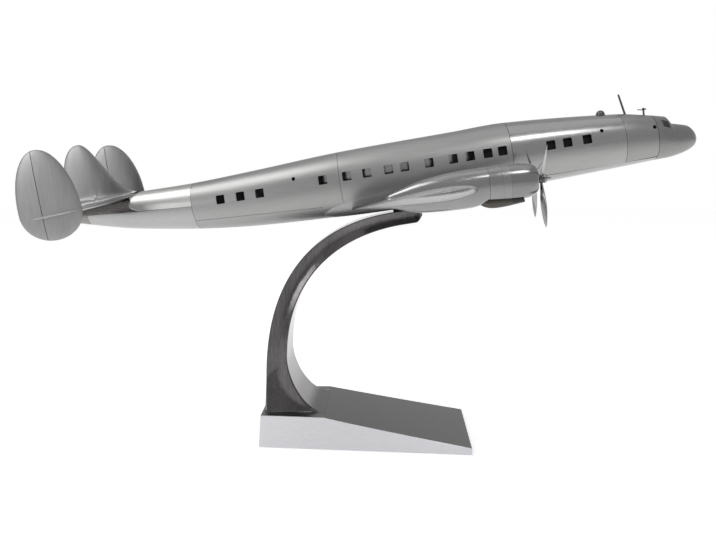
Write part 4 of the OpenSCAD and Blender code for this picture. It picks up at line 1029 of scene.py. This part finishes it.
# stand: arm, saddle and wedge base
stand = dict(
    armBack=-137.4, waist=29.4, head=18.8, footWide=48.0, waistWide=32.7, headWide=16.0,
    footReach=53.0, footBend=0.84, footRise=72.9, backStart=45.1, outerRise=105.0,
    outerRun=135.0, innerRise=101.0, innerRun=101.0, hollow=2.6, tip=27.0, saddleX=41.0,
    padLong=23.0, padWide=20.0, padThick=2.6, padBack=2.5, baseLong=290.0, baseWide=118.0,
    toeWide=142.0, baseHigh=46.3, toeHigh=9.6, baseFlat=88.0, sag=0.5, draft=3.4, round=1.4,
)
pitch = radians(attitude["pitch"])
armBack, baseHigh, saddleX = stand["armBack"], stand["baseHigh"], stand["saddleX"]


def toTable(x, z):
    return (x * cos(pitch) - z * sin(pitch), attitude["datumHeight"] + x * sin(pitch) + z * cos(pitch))


def behind(point, distance):
    # back along the airframe's own line
    return (point[0] - distance * cos(pitch), point[1] - distance * sin(pitch))


seatZ = -wing["boxDeep"] - stand["padThick"]
padFore = saddleX + stand["padLong"] / 2
seatBackX = saddleX - stand["padLong"] / 2 - stand["padBack"]
seatBack = toTable(seatBackX, seatZ)
bellyBack = toTable(saddleX, seatZ - stand["head"])
armIn = armBack + stand["waist"]
outerStart, innerStart = baseHigh + stand["backStart"], baseHigh + stand["footRise"]
outerCurve = [(armBack, outerStart), (armBack, outerStart + stand["outerRise"]),
              behind(seatBack, stand["outerRun"]), seatBack]
innerCurve = [(armIn, innerStart), (armIn, innerStart + stand["innerRise"]),
              behind(bellyBack, stand["innerRun"]), bellyBack]


# each station: a point on the arm's back, a point on its face, and the half width there
def footStation(s):
    a = radians(90 * (1 - s))
    return ((armBack, mix(baseHigh, outerStart, s)),
            (armIn + stand["footReach"] * (1 - cos(a)) ** stand["footBend"],
             baseHigh + stand["footRise"] * (1 - sin(a))),
            mix(stand["footWide"], stand["waistWide"], s**0.8))


def archStation(t):
    return (bezierPoint(outerCurve, t), bezierPoint(innerCurve, t),
            mix(stand["waistWide"], stand["headWide"], t**0.9))


def tipStation(u):
    tip = saddleX + stand["tip"]
    outX, inX = mix(seatBackX, tip, u), mix(saddleX, tip, u)
    v = max(0, (outX - padFore) / (tip - padFore))
    drop = (stand["head"] / 2 - 1) * v**1.6
    return (toTable(outX, seatZ - drop), toTable(inX, seatZ - stand["head"] + drop), mix(stand["headWide"], 2, v**2.2))


def armOutline(w):
    # points round one section: share from back to front, and half width; flat faces, soft corners, hollow sides
    h, r, corner = stand["hollow"] * min(1, w / stand["headWide"] * 0.9), stand["round"], 0.055
    angles = [radians(90 * i / 6) for i in reversed(range(7))]
    quarter = [(corner * (1 - sin(a)), w - r * (1 - cos(a))) for a in angles]
    side = [(corner + (1 - 2 * corner) * k / 20, w - h * sin(pi * k / 20) ** 1.2) for k in range(1, 20)]
    front = [(1 - share, wide) for share, wide in reversed(quarter)]
    flatBack = [(0, (w - r) * k / 8) for k in range(8)]
    flatFront = [(1, (w - r) * (7 - k) / 8) for k in range(8)]
    right = flatBack + quarter + side + front + flatFront
    return right + [(share, -wide) for share, wide in reversed(right[1:-1])]


def armPlace(station):
    back, front, width = station
    outline = armOutline(width)

    def place(c, s):
        share, wide = outline[nearestPoint(c, s, len(outline))]
        return (mix(back[0], front[0], share), wide, mix(back[1], front[1], share))

    return place


armStations = [footStation(i / 26) for i in range(26)] + [archStation(i / 60) for i in range(60)] + [
    tipStation(1 - (1 - i / 24) ** 1.3) for i in range(25)]
arm = loft(armStations, len(armOutline(stand["headWide"])), armPlace)
standArm = solidPiece("standArm", arm, onTable, ["armPolish", "armEdge"], "stand_arm", "polished_aluminium", sharp=48)
paintFaces(standArm.data.polygons, lambda face: abs(face.normal.y) < 0.6)

pad = bmesh.new()
boxAt(pad, move(saddleX, 0, -wing["boxDeep"] - stand["padThick"] / 2),
      (stand["padLong"], stand["padWide"], stand["padThick"]))
solidPiece("saddlePad", pad, airframe, ["padRubber"], "saddle_pad", "rubber", bevel=0.5)

baseFore = stand["baseLong"] / 2
rampStart = (stand["baseFlat"] - baseFore, baseHigh)
rampEnd = (baseFore - stand["draft"] * stand["toeHigh"] / baseHigh, stand["toeHigh"])
rampMiddle = ((rampStart[0] + rampEnd[0]) / 2, (rampStart[1] + rampEnd[1]) / 2 - 2 * stand["sag"])


def rampPoint(t):
    points = (rampStart, rampMiddle, rampEnd)
    return tuple(sum(share * point[k] for share, point in zip(((1 - t) ** 2, 2 * t * (1 - t), t * t), points))
                 for k in (0, 1))


wedge = bmesh.new()
sidePoints = [(baseFore, 0), (-baseFore, 0), (-baseFore + stand["draft"], baseHigh)]
profile = [wedge.verts.new((x, -0.5, z)) for x, z in sidePoints + [rampPoint(i / 40) for i in range(41)]]
pushed = bmesh.ops.extrude_face_region(wedge, geom=[wedge.faces.new(profile)])["geom"]
bmesh.ops.translate(wedge, vec=(0, 1, 0), verts=[v for v in pushed if isinstance(v, bmesh.types.BMVert)])
for vert in wedge.verts:
    vert.co.y *= mix(stand["baseWide"], stand["toeWide"], (vert.co.x + baseFore) / stand["baseLong"])
wedgeBase = solidPiece("wedgeBase", wedge, onTable, ["baseSatin", "baseTop"], "base_wedge", "base_aluminium",
                       bevel=0.7, sharp=30)
# the upward faces take the darker copy, as painted shade on the top
paintFaces(wedgeBase.data.polygons, lambda face: face.normal.z > 0.7)

# the joint rings, seen only through the seam gaps, are painted dark as painted shade in the seams
keptNodes = {
    "base_felt": "underFelt", "arm_screws": "screwSteel", "saddle_screws": "screwSteel", "joint_rings": "darkMetal",
    "wing_spar": "castWing", **{"shaft_" + key: "screwSteel" for key in places},
}
for node, finish in keptNodes.items():
    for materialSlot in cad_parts[node].material_slots:
        materialSlot.material = finishes[finish]
print("stand made")


# room, lights and camera
room = dict(
    white=(0.93, 0.93, 0.93), grey=(0.5, 0.5, 0.505), floorHigh=-0.0006, floorWide=8.0,
    floorGlow=0.5, nearGlow=0.15, fadeFrom=-0.9, fadeTo=-0.1,
)


def makePaper():
    # glows for rays that show it: as seen by the camera evenly, as mirrored in the metal less towards the front
    made, tree, card = newMaterial(
        "paleFloor", {"Base Color": (*room["white"], 1), "Roughness": 0.9, "Emission Color": (1, 1, 1, 1)})
    spot = addNode(tree, "TexCoord")
    parts = addNode(tree, "SeparateXYZ")
    fade = addNode(tree, "MapRange", {"From Min": room["fadeFrom"], "From Max": room["fadeTo"],
                                      "To Min": room["nearGlow"], "To Max": room["floorGlow"]})
    rays = addNode(tree, "LightPath")
    both = addNode(tree, "Math")
    every = addNode(tree, "Math", use_clamp=True)
    direct = addNode(tree, "Math", {1: room["floorGlow"]}, operation="MULTIPLY")
    level = addNode(tree, "Math", operation="MAXIMUM")
    glow = addNode(tree, "Math", operation="MULTIPLY")
    linkNodes(
        tree, (rays, "Is Camera Ray", both, 0), (rays, "Is Glossy Ray", both, 1), (both, 0, every, 0),
        (rays, "Is Transmission Ray", every, 1), (spot, "Object", parts, 0), (parts, "Y", fade, "Value"),
        (rays, "Is Camera Ray", direct, 0), (direct, 0, level, 0), (fade, 0, level, 1), (every, 0, glow, 0),
        (level, 0, glow, 1), (glow, 0, card, "Emission Strength"))
    return made


floorMesh = bmesh.new()
bmesh.ops.create_grid(floorMesh, x_segments=1, y_segments=1, size=room["floorWide"] / 2)
floor = rawPiece("floor", floorMesh, move(0, 0, room["floorHigh"]))
floor.data.materials.append(makePaper())


def makeWorld():
    # a white backdrop of limited height beyond the model, a plain grey room elsewhere
    world = bpy.data.worlds.new("studio")
    world.use_nodes = True
    tree = world.node_tree
    sky = tree.nodes["Background"]
    direction = addNode(tree, "TexCoord")
    parts = addNode(tree, "SeparateXYZ")
    beyond = addNode(tree, "MapRange", {"From Min": 0.2, "From Max": 0.7}, interpolation_type="SMOOTHSTEP")
    below = addNode(tree, "MapRange", {"From Min": 0.1, "From Max": 0.3, "To Min": 1.0, "To Max": 0.0},
                    interpolation_type="SMOOTHSTEP")
    backdrop = addNode(tree, "Math", operation="MULTIPLY")
    rays = addNode(tree, "LightPath")
    either = addNode(tree, "Math", operation="MAXIMUM")
    whole = addNode(tree, "Mix", {"A": (*room["grey"], 1), "B": (1, 1, 1, 1)}, data_type="RGBA")
    linkNodes(
        tree, (direction, "Generated", parts, 0), (parts, "Y", beyond, "Value"), (parts, "Z", below, "Value"),
        (beyond, 0, backdrop, 0), (below, 0, backdrop, 1), (backdrop, 0, either, 0),
        (rays, "Is Camera Ray", either, 1), (either, 0, whole, "Factor"), (whole, "Result", sky, "Color"))
    return world


bpy.context.scene.world = makeWorld()

lamps = {
    "frontSoftbox": dict(at=(0.45, -0.85, 1.75), aim=(0.2, 0, 0.4), size=(0.55, 0.26), watts=3),
    "rearSoftbox": dict(at=(-0.95, -0.2, 1.7), aim=(-0.35, 0, 0.35), size=(0.9, 0.9), watts=8),
    "sideSoftbox": dict(at=(-1.35, -1.35, 0.66), aim=(-0.42, 0, 0.4), size=(0.5, 0.6), watts=3.2),
    "topSoftbox": dict(at=(0.2, 0.3, 2.0), aim=(0.1, 0, 0.3), size=(1.4, 1.2), watts=2),
}
for name, lamp in lamps.items():
    wide, high = lamp["size"]
    light = linkObject(name, setAll(
        bpy.data.lights.new(name, "AREA"), shape="RECTANGLE", size=wide, size_y=high, energy=lamp["watts"]))
    light.location = lamp["at"]
    light.rotation_euler = (Vector(lamp["aim"]) - Vector(lamp["at"])).to_track_quat("-Z", "Y").to_euler()

camera = dict(at=(0.03161, -0.932, 0.399), down=9.816, turn=2.647, focal=34.29, sensor=36.0)
photoCamera = linkObject("photoCamera", setAll(
    bpy.data.cameras.new("photoCamera"), sensor_width=camera["sensor"], sensor_fit="HORIZONTAL",
    lens=camera["focal"], clip_start=0.01))
photoCamera.location = camera["at"]
photoCamera.rotation_euler = (radians(90 - camera["down"]), 0, radians(camera["turn"]))
bpy.context.scene.camera = photoCamera
bpy.context.scene.view_settings.view_transform = "Standard"

bpy.context.view_layer.update()
